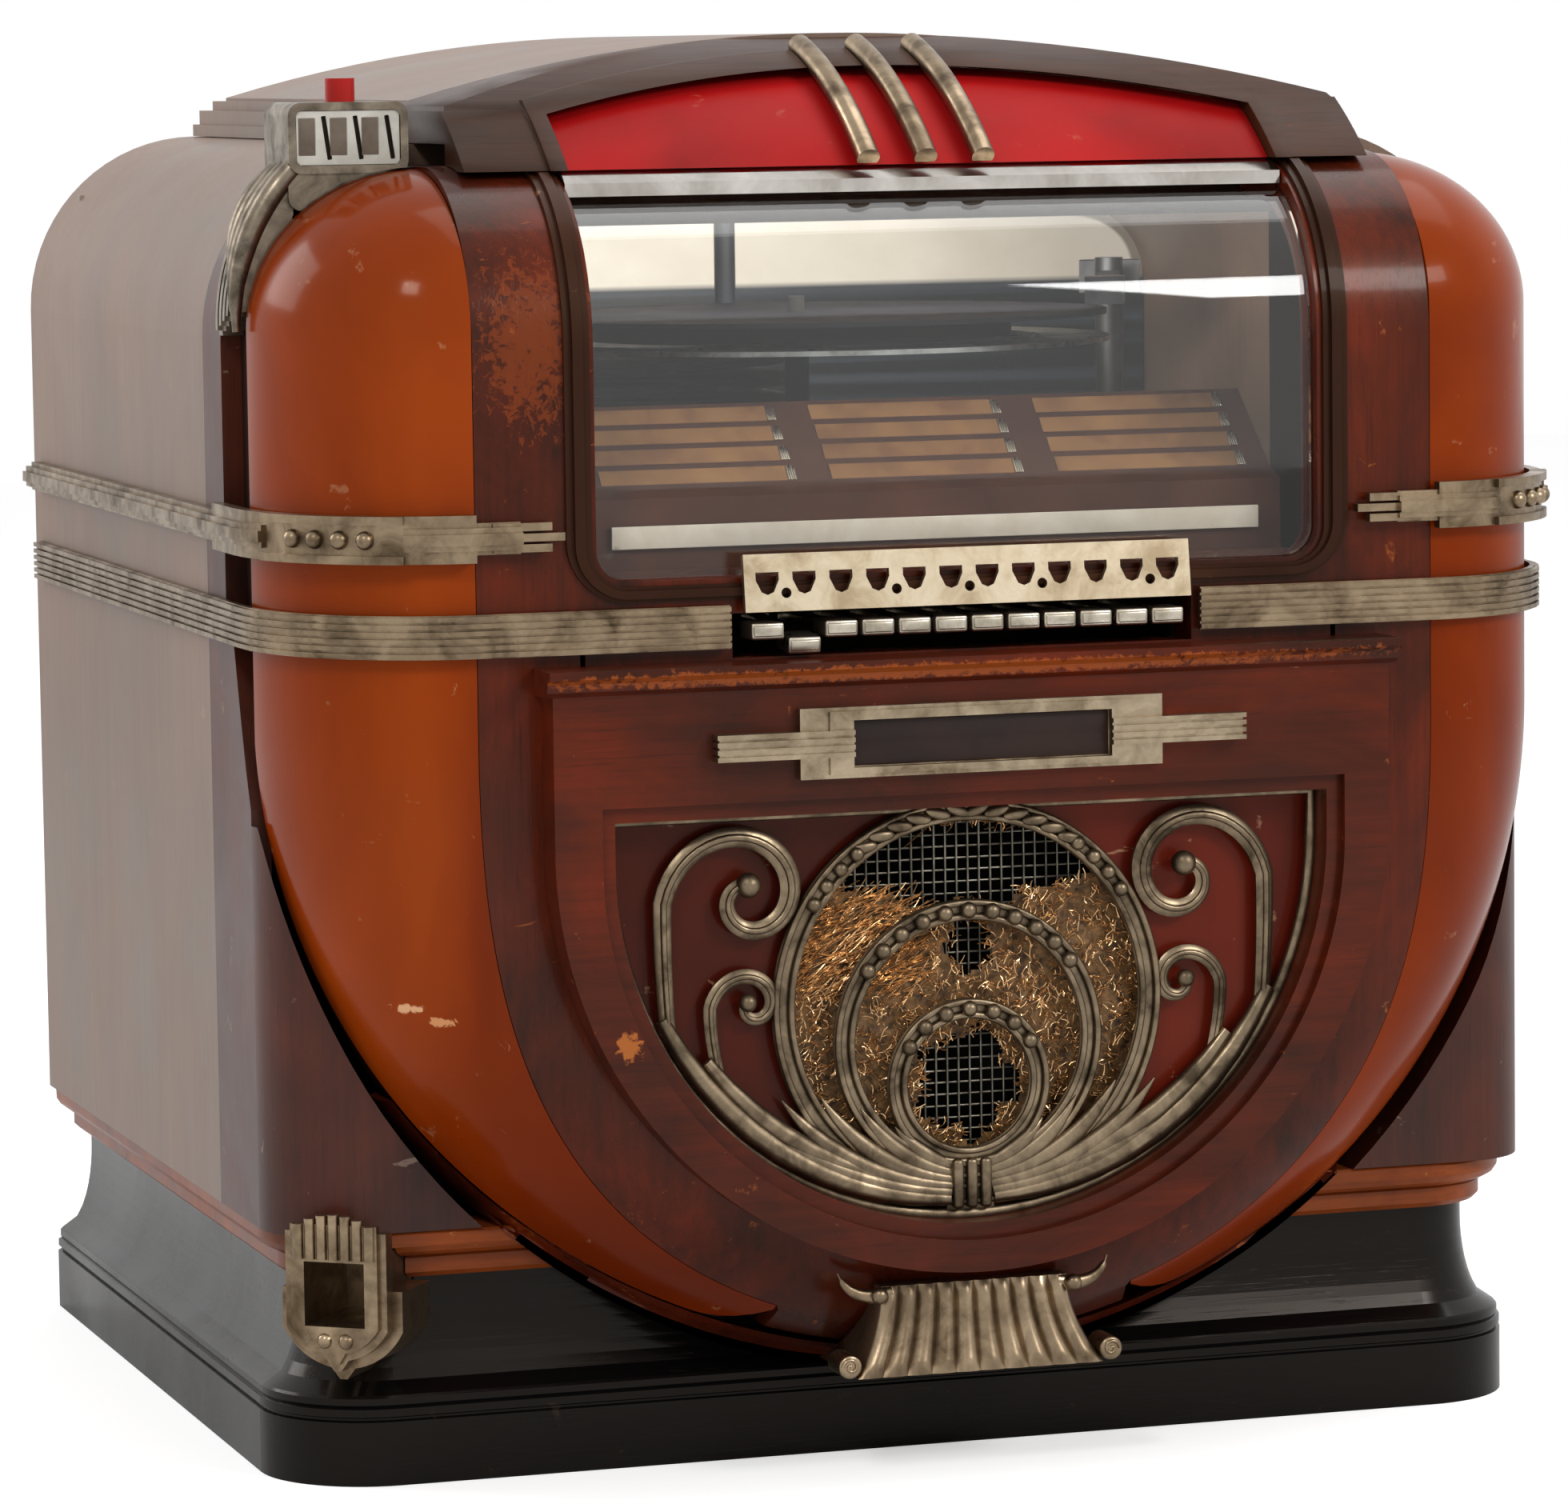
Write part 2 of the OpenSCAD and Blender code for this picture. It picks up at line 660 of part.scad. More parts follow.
module upper_band() {
    stand = side - path_a + gap;
    plate = 18;
    proud = 7;
    // Plate round the pilaster
    translate([0, 0, rod_z - plate / 2]) linear_extrude(plate) wrap_part(stand, proud, 0, 89);
    translate([0, 0, rod_z - plate / 2]) linear_extrude(plate)
        translate([path_a + stand, flank_y - 0.1]) square([proud - stand, side_y - flank_y]);
    for (s = [-1, 1]) translate([0, 0, rod_z + s * (plate / 2 - 1.6) - 1.6]) linear_extrude(3.2)
        wrap_part(proud - 0.1, proud + 2, field_side, field_front);
    // Rods from the back and from the front up to the studded field
    for (layer = [[rod_d, proud - 1], [rod_d * 0.72, proud + 1.5], [rod_d * 0.36, proud + 3]])
        translate([0, 0, rod_z - layer[0] / 2]) linear_extrude(layer[0]) {
            wrap_part(stand, layer[1], 0, field_side);
            wrap_part(stand, layer[1], field_front, 90);
            translate([path_a + stand, flank_y - 0.1])
                square([layer[1] - stand, back_y - band_back_gap - flank_y + 0.1]);
            translate([front_half - 16, front_y - layer[1]]) square([16.1, layer[1] - stand]);
        }
    // Three ribs at the front end
    for (k = [-1 : 1]) translate([0, 0, rod_z + k * rod_d / 3 - rod_d / 8]) linear_extrude(rod_d / 4)
        translate([rod_end + abs(k) * 5, front_y - proud]) square([front_half - rod_end - 10, proud - stand]);
    // Studs
    for (k = [0 : studs - 1]) let (
        a = 33 + k * 7.9,
        p = wrap_ring(proud, 0, a, a, 1)[0]
    ) translate([p[0], p[1], rod_z]) sphere(3.6, $fn = 24);
}

studs = 4;
field_side = 21;
field_front = 68;

module upper_band_right() color("#a39c86") upper_band();
module upper_band_left() color("#a39c86") mirror([1, 0, 0]) upper_band();

// Lid

module arch_outline(half, low, drop) {
    intersection() {
        translate([-half, low]) square([2 * half, 200]);
        translate([0, arch_z]) circle(arch_r - drop, $fn = 180);
    }
}

lid_z = body_top + 0.3;

module lid_panel() color("#8a6a55") {
    rear = lid_rear;
    difference() {
        union() {
            along_y(-cap_seam_d, rear) arch_outline(lid_half, lid_z, 0);
            along_y(-cap_seam_d, rear) translate([-lid_half - 6, lid_z]) square([2 * lid_half + 12, 15]);
            along_y(-cap_seam_d, rear) translate([-lid_half - 12, lid_z]) square([2 * lid_half + 24, 11]);
            along_y(-cap_seam_d, rear) translate([-lid_half - 15, lid_z]) square([2 * lid_half + 30, 5]);
        }
        along_y(-cap_seam_d - 1, rear - lid_t) arch_outline(lid_half - lid_t, lid_z - 1, lid_t);
    }
}

module cap_side(r, low) {
    intersection() {
        translate([cap_y, cap_z]) circle(r, $fn = 180);
        translate([cap_y - r, low]) square([-cap_seam_d - gap - cap_y + r, 300]);
    }
}

cap_low = brow_z + brow_r - 2;

module lid_front_cap() color("#4a2c1e") {
    corner = 14;
    bead = 7;
    // Bead round the red panel
    intersection() {
        along_x(-cap_half, cap_half) difference() {
            cap_side(cap_r + 2.2, cap_low);
            cap_side(cap_r - 4, cap_low - 1);
            front_profile(-gap, 300);
        }
        difference() {
            red_outline(bead);
            red_outline(0);
            for (k = [-1 : 1]) along_y(-260, 0) translate([k * fin_pitch - fin_w / 2 - gap, cap_low])
                square([fin_w + 2 * gap, lid_top - cap_low]);
        }
    }
    difference() {
        intersection() {
            along_x(-cap_half, cap_half) cap_side(cap_r, cap_low);
            along_y(-260, -cap_seam_d) intersection() {
                arch_outline(cap_half, cap_low, 0);
                union() {
                    translate([-cap_half + corner, 0]) square([2 * (cap_half - corner), 700]);
                    translate([-cap_half, 0]) square([2 * cap_half, body_top + 13]);
                    for (s = [-1, 1]) translate([s * (cap_half - corner), body_top + 7]) circle(corner);
                }
            }
        }
        // Hollow inside
        intersection() {
            along_x(-cap_half + lid_t, cap_half - lid_t) cap_side(cap_r - lid_t, cap_low - 1);
            along_y(-260, -cap_seam_d + 1) arch_outline(cap_half - lid_t, cap_low - 1, lid_t + 1);
        }
        red_outline(0);
        // Clear of the wood front and the cabinet top
        along_x(-side, side) {
            front_profile(-gap, 300);
            translate([brow_y, cap_low - 20]) square([200, body_top + gap - cap_low + 20]);
        }
    }
}

module red_outline(grow) {
    along_y(-260, -cap_seam_d - 20) intersection() {
        translate([-red_half - grow, cap_low - 5]) square([2 * (red_half + grow), 80]);
        translate([0, arch_z]) circle(arch_r - red_brow + grow, $fn = 180);
    }
}

module lid_red_panel() color("#b01c1c") {
    difference() {
        intersection() {
            along_x(-red_half + gap, red_half - gap) cap_side(cap_r - 3, cap_low);
            red_outline(-gap);
        }
        along_x(-side, side) cap_side(cap_r - 6, cap_low - 1);
        along_x(-side, side) {
            front_profile(-gap, 300);
            translate([brow_y, cap_low - 20]) square([200, body_top + gap - cap_low + 20]);
        }
    }
}

module lid_fins() color("#9c9684") {
    r = cap_r + 2.6;
    for (k = [-1 : 1]) translate([k * fin_pitch, cap_y, cap_z]) intersection() {
        difference() {
            rotate([0, 90, 0]) rotate_extrude($fn = 180) translate([r, 0]) circle(d = fin_w, $fn = 32);
            rotate([0, 90, 0]) translate([0, 0, -fin_w]) cylinder(r = cap_r + 0.3, h = 2 * fin_w, $fn = 180);
        }
        along_x(-fin_w, fin_w) polygon([[0, 0], 2 * r * [-sin(fin_low), cos(fin_low)],
            2 * r * [-sin(fin_high), cos(fin_high)]]);
    }
    for (k = [-1 : 1]) translate([k * fin_pitch, cap_y - r * sin(fin_high), cap_z + r * cos(fin_high)])
        intersection() {
            sphere(d = fin_w - 0.8, $fn = 32);
            rotate([fin_high, 0, 0]) box([-fin_w, -1, -2], [fin_w, fin_w, fin_w]);
        }
}

hinge_r = 3.2;
hinge_y = back_y - 4.5;
hinge_z = body_top + 1.2 + hinge_r;
lid_rear = hinge_y - hinge_r - 1.3;
knuckle = 30;
knuckles = 5;
hinge_half = knuckle * knuckles;

// Every other knuckle of the hinge, from the given one on
module hinge_knuckles(first) {
    for (k = [first : 2 : 2 * knuckles - 1])
        translate([k * knuckle - hinge_half, hinge_y, hinge_z]) rotate([0, 90, 0])
            cylinder(r = hinge_r, h = knuckle - gap);
}

module lid_hinge() color("#8d8a80") {
    translate([-hinge_half, hinge_y, hinge_z]) rotate([0, 90, 0]) cylinder(d = 3, h = 2 * hinge_half);
    hinge_knuckles(0);
    for (k = [0 : 2 : 2 * knuckles - 1]) let (x = k * knuckle - hinge_half)
        box([x, hinge_y - 1, body_top + 0.5], [x + knuckle - gap, hinge_y + hinge_r, hinge_z]);
    box([-hinge_half, lid_rear + 0.5, body_top], [hinge_half, back_y, body_top + 0.9]);
}

module lid_hinge_leaf() color("#8d8a80") {
    difference() {
        union() {
            hinge_knuckles(1);
            for (k = [1 : 2 : 2 * knuckles - 1]) let (x = k * knuckle - hinge_half)
                box([x, lid_rear, hinge_z + 0.5], [x + knuckle - gap, hinge_y, hinge_z + hinge_r]);
            box([-hinge_half, lid_rear, hinge_z + hinge_r - 0.5], [hinge_half, lid_rear + 1, hinge_z + 14]);
        }
        translate([-hinge_half - 10, hinge_y, hinge_z]) rotate([0, 90, 0])
            cylinder(r = 1.5 + run_gap, h = 2 * hinge_half + 20);
    }
}

// Back door on two pivot pins

pivot_x = -side + board + 6;
pivot_y = back_y - back_door_t / 2;
door_low = body_z + board - rebate + 1;
door_high = door_top - 1;

module back_pivots(extra, reach) {
    translate([pivot_x, pivot_y, door_low - 7 - reach])
        cylinder(r = door_pin_dia / 2 + extra, h = door_high - door_low + 14 + 2 * reach);
}

module back_door() color("#5b4a3a") {
    difference() {
        union() {
            box([pivot_x, back_y - back_door_t, door_low], [side - board + rebate - 1, back_y, door_high]);
            translate([pivot_x, pivot_y, door_low]) cylinder(d = back_door_t, h = door_high - door_low);
            back_pivots(0, 0);
        }
        for (x = [-60 : 20 : 60]) translate([x, back_y + 1, door_high - 60])
            rotate([90, 0, 0]) cylinder(d = 12, h = back_door_t + 2);
    }
}

// Lower panel

module panel_outline(half, top, mid) {
    intersection() {
        union() {
            translate([0, mid]) circle(half, $fn = 128);
            translate([-half, mid]) square([2 * half, top - mid]);
        }
        translate([-half, 0]) square([2 * half, top]);
    }
}

module grille_outline(grow) {
    panel_outline(grille_half + grow, grille_top + grow, grille_mid);
}

module lower_panel() color("#63271a") {
    difference() {
        union() {
            along_y(panel_y, front_y - gap) panel_outline(panel_half, panel_top, panel_mid);
            // Moulded ledge along the top
            along_x(-panel_half - 3, panel_half + 3) polygon([
                [front_y - gap, panel_top - 10], [panel_y, panel_top - 10], [panel_y - 3, panel_top - 8],
                [panel_y - 4, panel_top - 5], [panel_y - 7, panel_top - 3], [panel_y - 7, panel_top],
                [front_y - gap, panel_top]
            ]);
        }
        along_y(panel_y - 1, 0) grille_outline(0);
        along_y(panel_y - 1, panel_y + 4) grille_outline(6);
    }
}

module nameplate_frame() color("#a8a290") {
    y1 = panel_y - 0.1;
    low = panel_top - 44.7;
    high = low + 27;
    rib = 2.8;
    difference() {
        union() {
            along_y(y1 - 4, y1) translate([-73, low]) square([146, high - low]);
            along_y(y1 - 5.2, y1) translate([-61.5, low + 1.5]) square([123, high - low - 3]);
            for (k = [0 : 3]) along_y(y1 - 7, y1)
                translate([-106.5, low + 8.3 + rib * k]) square([213, rib - 1]);
            along_y(y1 - 5.6, y1) translate([-105.5, low + 8.3]) square([211, 4 * rib - 1]);
        }
        along_y(y1 - 8, y1 - 1.5) translate([-52, low + 4]) square([104, high - low - 9]);
    }
}

// Grille

casting_y = front_y + grille_t;
backing_y = casting_y + gap;
cloth_y = backing_y + 3 + gap;
mesh_y = cloth_y + 3 + gap;

module ring_bar(x, z, r, w, y0, y1) {
    translate([x, y1, z]) rotate([90, 0, 0]) difference() {
        cylinder(r = r, h = y1 - y0, $fn = 96);
        translate([0, 0, -1]) cylinder(r = r - w, h = y1 - y0 + 2, $fn = 96);
    }
}

// A bar that follows a line, with its half widths at the start, middle and end
function side_of(path, k) = let (d = path[min(k + 1, len(path) - 1)] - path[max(k - 1, 0)])
    [-d[1], d[0]] / norm(d);
function width_at(t, w) = w[0] * (1 - t) * (1 - 2 * t) + 4 * w[1] * t * (1 - t) + w[2] * t * (2 * t - 1);
function curve(a, b, c, n) = [for (k = [0 : n]) let (t = k / n)
    (1 - t) * (1 - t) * a + 2 * t * (1 - t) * b + t * t * c];
function spiral(middle, r, quarter, turn) = [for (a = [0 : 18 : turn])
    middle + r * pow(quarter, a / 90) * [cos(a), sin(a)]];
function spiral_end(middle, r, quarter, turn) = middle + r * pow(quarter, turn / 90) * [cos(turn), sin(turn)];

module ribbon(path, w) {
    n = len(path) - 1;
    polygon(concat(
        [for (k = [0 : n]) path[k] + width_at(k / n, w) * side_of(path, k)],
        [for (k = [n : -1 : 0]) path[k] - width_at(k / n, w) * side_of(path, k)]
    ));
}

// A scroll grows out of the leaf at its foot and winds in round its middle
module scroll(middle, r, quarter, turn, foot, w) {
    stem = curve(foot, [middle[0] + r, (foot[1] + middle[1]) / 2], middle + [r, 0], 4);
    line = spiral(middle, r, quarter, turn);
    ribbon(concat([for (k = [0 : 3]) stem[k]], line), w);
}

rings = [[84, 78.3, 7.3], [69.5, 53.6, 6.7], [52.5, 32.2, 6.4]];
big_scroll = [grille_half - 55.5, grille_top - 33];
small_scroll = [grille_half - 57, grille_low + 87];
big_foot = [grille_half - 17, grille_low + 89];
small_foot = [grille_half - 36.5, grille_low + 66];
stub_pitch = 5.7;

// Leaves fan out from the stubs, each one laid a little lower than the last
module leaves() {
    r = grille_half - 6.4;
    tips = [small_foot + [0, 3], [grille_half - 66, grille_low + 43], [58, grille_low + 45],
        [38, grille_low + 40], [27, grille_low + 32]];
    along_y(front_y - 3.4, casting_y)
        ribbon([for (a = [-86 : 9 : -23]) [r * cos(a), grille_mid + r * sin(a)]], [2, 3.4, 0.6]);
    for (k = [0 : 4]) let (start = [9 - k * 0.5, grille_low + 9.5 + 2.7 * k])
        along_y(front_y - 2.7 + 0.6 * k, casting_y) ribbon(
            curve(start, [tips[k][0] * 0.66 + 1, start[1] + 4 - k * 0.5], tips[k], 7), [1.6, 2.8, 0.5]);
}

module grille_casting() color("#8a8471") {
    y1 = casting_y;
    difference() {
        along_y(front_y, y1) grille_outline(4);
        along_y(front_y - 1, y1 + 1) grille_outline(-3.5);
    }
    intersection() {
        for (ring = rings) ring_bar(0, grille_low + ring[0], ring[1], ring[2], front_y - 1, y1);
        along_y(-400, 0) grille_outline(-1);
    }
    both_sides() {
        along_y(front_y, y1 - 0.5) scroll(big_scroll, 34, 0.7, 450, big_foot, [1.2, 2.8, 1.6]);
        along_y(front_y - 0.5, y1 - 1) scroll(small_scroll, 17, 0.66, 396, small_foot, [1, 1.9, 1.2]);
        leaves();
        pearl(spiral_end(big_scroll, 34, 0.7, 450), 0, 0, 3.4);
        pearl(spiral_end(small_scroll, 17, 0.66, 396), 0, 0, 2.4);
        for (a = [37 : 6.6 : 57]) pearl([0, grille_low + rings[0][0]], 74.6, a, 2.6);
        for (a = [4.5 : 6.5 : 31]) along_y(front_y - 3, y1 - 1)
            leaf_scale([0, grille_low + rings[0][0]], 74.6, a);
    }
    for (a = [-55 : 11 : 55]) pearl([0, grille_low + rings[1][0]], 50.2, a, 3);
    for (a = [-58 : 29 / 1.5 : 59]) pearl([0, grille_low + rings[2][0]], 28.8, a, 2.8);
    for (k = [-1 : 1]) along_y(front_y - 4, y1)
        translate([k * stub_pitch - 1.8, grille_low + 3]) square([3.6, 20]);
    along_y(front_y - 1, y1) translate([-9, grille_low + 3]) square([18, 20]);
}

module pearl(middle, r, a, size) {
    translate([middle[0] + r * sin(a), front_y - 0.8, middle[1] + r * cos(a)]) sphere(size, $fn = 24);
}

// A small leaf laid along the top of the large ring
module leaf_scale(middle, r, a) {
    p = middle + r * [sin(a), cos(a)];
    ribbon([for (k = [-2 : 2]) p + k * 2.1 * [cos(a - 24), -sin(a - 24)]], [0.5, 2.6, 0.5]);
}

module grille_backing() color("#8e1a1a") {
    along_y(backing_y, backing_y + 3) difference() {
        grille_outline(3);
        translate([0, grille_low + rings[0][0]]) circle(rings[0][1] - 3.3, $fn = 96);
        translate([-57, grille_low - 19]) square([114, 52]);
    }
}

module grille_cloth() color("#9a7434") {
    along_y(cloth_y, cloth_y + 3) difference() {
        grille_outline(3);
        translate([-20, grille_low + 123]) square([40, 26]);
        for (x = [-20, 20]) translate([x, grille_low + 136]) circle(13);
        translate([2, grille_low + 51]) circle(20);
    }
}

module grille_mesh() color("#55524b") {
    pitch = 7.6;
    half = 10 * pitch;
    high = grille_top - 4;
    low = high - 17 * pitch;
    difference() {
        box([-half - 4, mesh_y, low - 4], [half + 4, mesh_y + 2.4, high + 4]);
        box([-half, mesh_y - 1, low], [half, mesh_y + 3, high]);
    }
    for (x = [pitch - half : pitch : half - 1])
        box([x - 0.5, mesh_y, low - 1], [x + 0.5, mesh_y + 1, high + 1]);
    for (z = [low + pitch : pitch : high - 1])
        box([-half - 1, mesh_y + 1.3, z - 0.5], [half + 1, mesh_y + 2.3, z + 0.5]);
}

module speaker() color("#2c2a28") {
    r = speaker_dia / 2;
    translate([0, flank_y - 4 - gap, speaker_z]) rotate([-90, 0, 0]) {
        difference() {
            cylinder(r = r, h = 4, $fn = 96);
            translate([0, 0, -1]) cylinder(r = r - 12, h = 6, $fn = 96);
        }
        difference() {
            translate([0, 0, 3.9]) cylinder(r1 = r - 9, r2 = 28, h = 44, $fn = 96);
            translate([0, 0, -1]) cylinder(r1 = r - 10, r2 = 20, h = 46, $fn = 96);
        }
        translate([0, 0, 45]) cylinder(r = 38, h = 34, $fn = 64);
    }
}

// Metal ornaments

foot_flutes = 10;
foot_head = 38;
foot_half = 51;

module foot_ornament() color("#9c957f") {
    high = path_low + 43;
    low = path_low + 6.6;
    head_y = front_y - 6;
    foot_y = front_y - 13;
    top_r = foot_head / foot_flutes;
    low_r = foot_half / foot_flutes;
    difference() {
        union() {
            intersection() {
                along_y(foot_y, flank_y - 20) polygon([[-foot_half, low], [-foot_head, high],
                    [foot_head, high], [foot_half, low]]);
                along_x(-foot_half, foot_half) polygon([[foot_y + low_r - 1, low], [head_y + top_r - 1, high],
                    [flank_y - 20, high], [flank_y - 20, low]]);
            }
            for (k = [0 : foot_flutes - 1]) let (
                t = (2 * k + 1) / foot_flutes - 1,
                from = [t * foot_half, foot_y + low_r, low],
                way = [t * foot_head, head_y + top_r, high] - from
            ) translate(from) rotate([0, acos(way[2] / norm(way)), atan2(way[1], way[0])])
                cylinder(r1 = low_r + 0.1, r2 = top_r + 0.1, h = norm(way), $fn = 32);
            // Knobs and ears at the corners
            both_sides() {
                along_y(foot_y + 2, foot_y + 20) translate([foot_half + 3.5, low + 5]) circle(4.8, $fn = 32);
                along_y(head_y + 1, head_y + 9) ribbon(curve([foot_head - 3, high - 3.5],
                    [foot_head + 12, high - 4], [foot_head + 18, high + 6], 6), [3, 3.4, 0.5]);
            }
        }
        // The back follows the wood
        along_x(-80, 80) polygon(concat([for (u = [3 : 4 : 63]) [bow_y(u) - gap, path_low + u]],
            [[-150, path_low + 63], [-150, path_low - 5]]));
    }
}

coin_return_at = [25.3 - side, lower_y - 2.2, base_h - 1];
coin_return_turn = 38;
coin_mouth = 25;
coin_cup = 32;
module at_coin_return() {
    translate(coin_return_at) rotate([0, 0, -coin_return_turn]) children();
}

module coin_pocket() {
    half = coin_mouth / 2 + 2;
    at_coin_return() box([-half, -40, -half], [half, coin_cup + 2, half]);
}

// A shield with straight sides, a round lower edge and a small point
module coin_shield(half, top) {
    translate([-half, -6]) square([2 * half, top + 6]);
    intersection() {
        translate([0, -2]) circle(half + 3, $fn = 48);
        translate([-half, -2 * half]) square([2 * half, 2 * half]);
    }
    polygon([[-half / 2, -half * 0.8], [half / 2, -half * 0.8], [1.5, -half - 9], [-1.5, -half - 9]]);
}

module coin_return() color("#9c957f") {
    mouth = coin_mouth / 2;
    at_coin_return() difference() {
        union() {
            along_y(-8, -2) coin_shield(21, 24);
            along_y(-10, -7) coin_shield(18, 27);
            // Flutes over the mouth
            for (k = [-3 : 3]) translate([k * 4.9, -9.6, mouth + 1])
                cylinder(r = 2.3, h = 17.5 - 0.45 * k * k, $fn = 24);
            for (s = [-1, 1]) translate([s * 4.4, -9, -mouth - 5.5]) sphere(3.2, $fn = 24);
            // Body that fills the hollow moulding behind
            difference() {
                along_y(-2.5, 24) coin_shield(25, 10);
                at_coin_world() base_form(gap);
                at_coin_world() box([-side - 20, -400, base_h], [side, back_y, base_h + 60]);
            }
            box([-mouth - 1.5, -2.5, -mouth - 1.5], [mouth + 1.5, coin_cup, mouth + 1.5]);
        }
        box([-mouth, -41, -mouth], [mouth, coin_cup - 1.5, mouth]);
    }
}

// Undoes the turn and place of the coin return
module at_coin_world() {
    rotate([0, 0, coin_return_turn]) translate(-coin_return_at) children();
}

// Coin head, a casting that saddles the recess on the left shoulder
coin_y0 = flank_y - 3;
coin_y1 = side_y - 0.4;
coin_x0 = 19 - side;
coin_x1 = 66 - side;
coin_low = body_top - 8;
coin_top = body_top + 17;
button_x = 44.5 - side;
button_y = flank_y + 16;

module rounded(low, high, r) {
    translate(low + [r, 0]) square(high - low - [2 * r, 0]);
    translate(low + [0, r]) square(high - low - [0, 2 * r]);
    for (x = [low[0] + r, high[0] - r], y = [low[1] + r, high[1] - r]) translate([x, y]) circle(r, $fn = 32);
}

module coin_casting() color("#8f8a78") {
    ribs = 6;
    w = (coin_y1 - flank_y - 0.4) / ribs;
    difference() {
        union() {
            along_y(coin_y0, coin_y1) rounded([coin_x0, coin_low - 16], [coin_x1, coin_top], 5);
            // Bezel round the plate
            along_y(coin_y0 - 1.6, coin_y0 + 1) difference() {
                rounded([coin_x0, coin_low - 2], [coin_x1, coin_top], 5);
                rounded([coin_x0 + 3, coin_low + 1], [coin_x1 - 3, coin_top - 3], 3);
            }
            // Fluted wing down the side, and the flange in front of it
            for (k = [0 : ribs - 1]) let (y = flank_y + 0.4 + k * w, tip = 452 - 2 * k) {
                along_y(y, y + w) coin_wing(0, tip);
                along_y(y + w * 0.2, y + w * 0.8) coin_wing(1.6, tip + 2);
            }
            along_y(flank_y - 1.6, flank_y + 0.5) coin_wing(-0.5, 454);
        }
        along_y(flank_y - 0.2, side_y + 1) body_outline(recess_in - gap, 300);
        // Clear of the rounded top of the pilaster
        translate([-front_half - gap, flank_y - 40, dome_z]) intersection() {
            scale([1, 1, dome_h / pilaster_w]) rotate([-90, 0, 0])
                cylinder(r = pilaster_w + 1, h = 39.8 + gap, $fn = 96);
            box([-100, 0, 0], [100, 100, 100]);
        }
        box([-side - 10, coin_y0 - 10, 400], [0, flank_y - gap, dome_z + 0.1]);
        along_y(coin_y0 - 5, coin_y0 + 2)
            rounded([coin_x0 + 4, coin_low + 2], [coin_x1 - 4, coin_top - 4], 2);
        translate([button_x, button_y, coin_top - 14]) cylinder(r = 5.75 + gap, h = 20, $fn = 48);
    }
}

module coin_wing(grow, low) {
    r = shoulder_r + 12;
    intersection() {
        translate([-side - 0.5 + r, body_top - shoulder_r + 6]) circle(r + grow, $fn = 96);
        translate([-side - 10, low]) square([coin_x0 + side + 12, coin_top - low - 8]);
    }
}

module coin_slot_plate() color("#e8e6e0") {
    y0 = coin_y0 + 0.4;
    middle = (coin_x0 + coin_x1) / 2;
    difference() {
        along_y(y0, coin_y0 + 1.7)
            rounded([coin_x0 + 4.3, coin_low + 2.3], [coin_x1 - 4.3, coin_top - 4.3], 1.7);
        for (k = [-1 : 1]) translate([middle + k * 12.4 + 4, 0, (coin_low + coin_top) / 2]) rotate([0, 6, 0])
            box([-0.9, y0 - 1, -6], [0.9, coin_y0 + 3, 6.5]);
    }
}

module reject_button() color("#b01818") {
    translate([button_x, button_y, coin_top - 10.5]) cylinder(r = 5.75, h = 19.5, $fn = 48);
}

// Selector

module selector_plate() color("#c8c0a8") {
    low = slot_z + slot_h + gap;
    translate([0, front_y - 5.2, low]) rotate([-8, 0, 0]) difference() {
        box([-plate_half, -plate_t, 0], [plate_half, 0, plate_h]);
        for (k = [0 : keys - 1]) translate([(k - (keys - 1) / 2) * key_pitch, 1, plate_h / 2])
            rotate([90, 0, 0]) linear_extrude(plate_t + 2) shield();
        for (k = [0.5, 3.5, 5.5, 7.5, 10.5]) translate([(k - (keys - 1) / 2) * key_pitch, 1, plate_h / 2 - 4])
            rotate([90, 0, 0]) cylinder(d = 4, h = plate_t + 2);
    }
}

module shield() {
    polygon([[-4.6, 4], [4.6, 4], [4.6, 1], [2.4, -3.6], [0, -4.6], [-2.4, -3.6], [-4.6, 1]]);
}

module selector_housing() color("#141414") {
    low = slot_z - 14;
    high = slot_z + slot_h;
    translate([-slot_half, shaft_y, shaft_z]) rotate([0, 90, 0]) cylinder(d = shaft_dia, h = 2 * slot_half);
    for (s = [-1, 1])
        box([s * slot_half - 2, front_y + front_t + gap, low], [s * slot_half + 2, shaft_y + 12, high + 4]);
    box([-slot_half, shaft_y + 8, low], [slot_half, shaft_y + 12, high + 4]);
    box([-slot_half, front_y + front_t + gap, low], [slot_half, shaft_y + 12, low + 3]);
}

module selector_key(k) {
    x = (k - (keys - 1) / 2) * key_pitch;
    y1 = shaft_y;
    front = front_y - 7;
    top = shaft_z + 3;
    // One key is down in the photograph's state
    translate([0, y1, shaft_z]) rotate([k == pressed_key ? key_press : 0, 0, 0]) translate([0, -y1, -shaft_z])
    difference() {
        union() {
            box([x - key_w / 2, front, top - key_h], [x + key_w / 2, front + 16, top]);
            box([x - key_w / 2 + 3, front + 15, top - 4], [x + key_w / 2 - 3, y1, top - 1]);
            translate([x - key_w / 2 + 1, y1, shaft_z]) rotate([0, 90, 0])
                cylinder(r = 5, h = key_w - 2, $fn = 48);
        }
        translate([x - key_w, y1, shaft_z]) rotate([0, 90, 0])
            cylinder(r = shaft_dia / 2 + run_gap, h = 2 * key_w, $fn = 48);
    }
}

module keyed(name, k) {
    color("#c9c2ae") selector_key(k);
}

// Titles

title_low = [front_y + 41, window_z + 33];
title_high = [front_y + 75, window_z + 62];
title_half = 39;
title_step = (2 * window_half - 13.6) / 3;
title_turn = atan2(title_high[1] - title_low[1], title_high[0] - title_low[0]);
title_pitch = norm(title_high - title_low) / 4;
card_y = title_low[0] - 13;

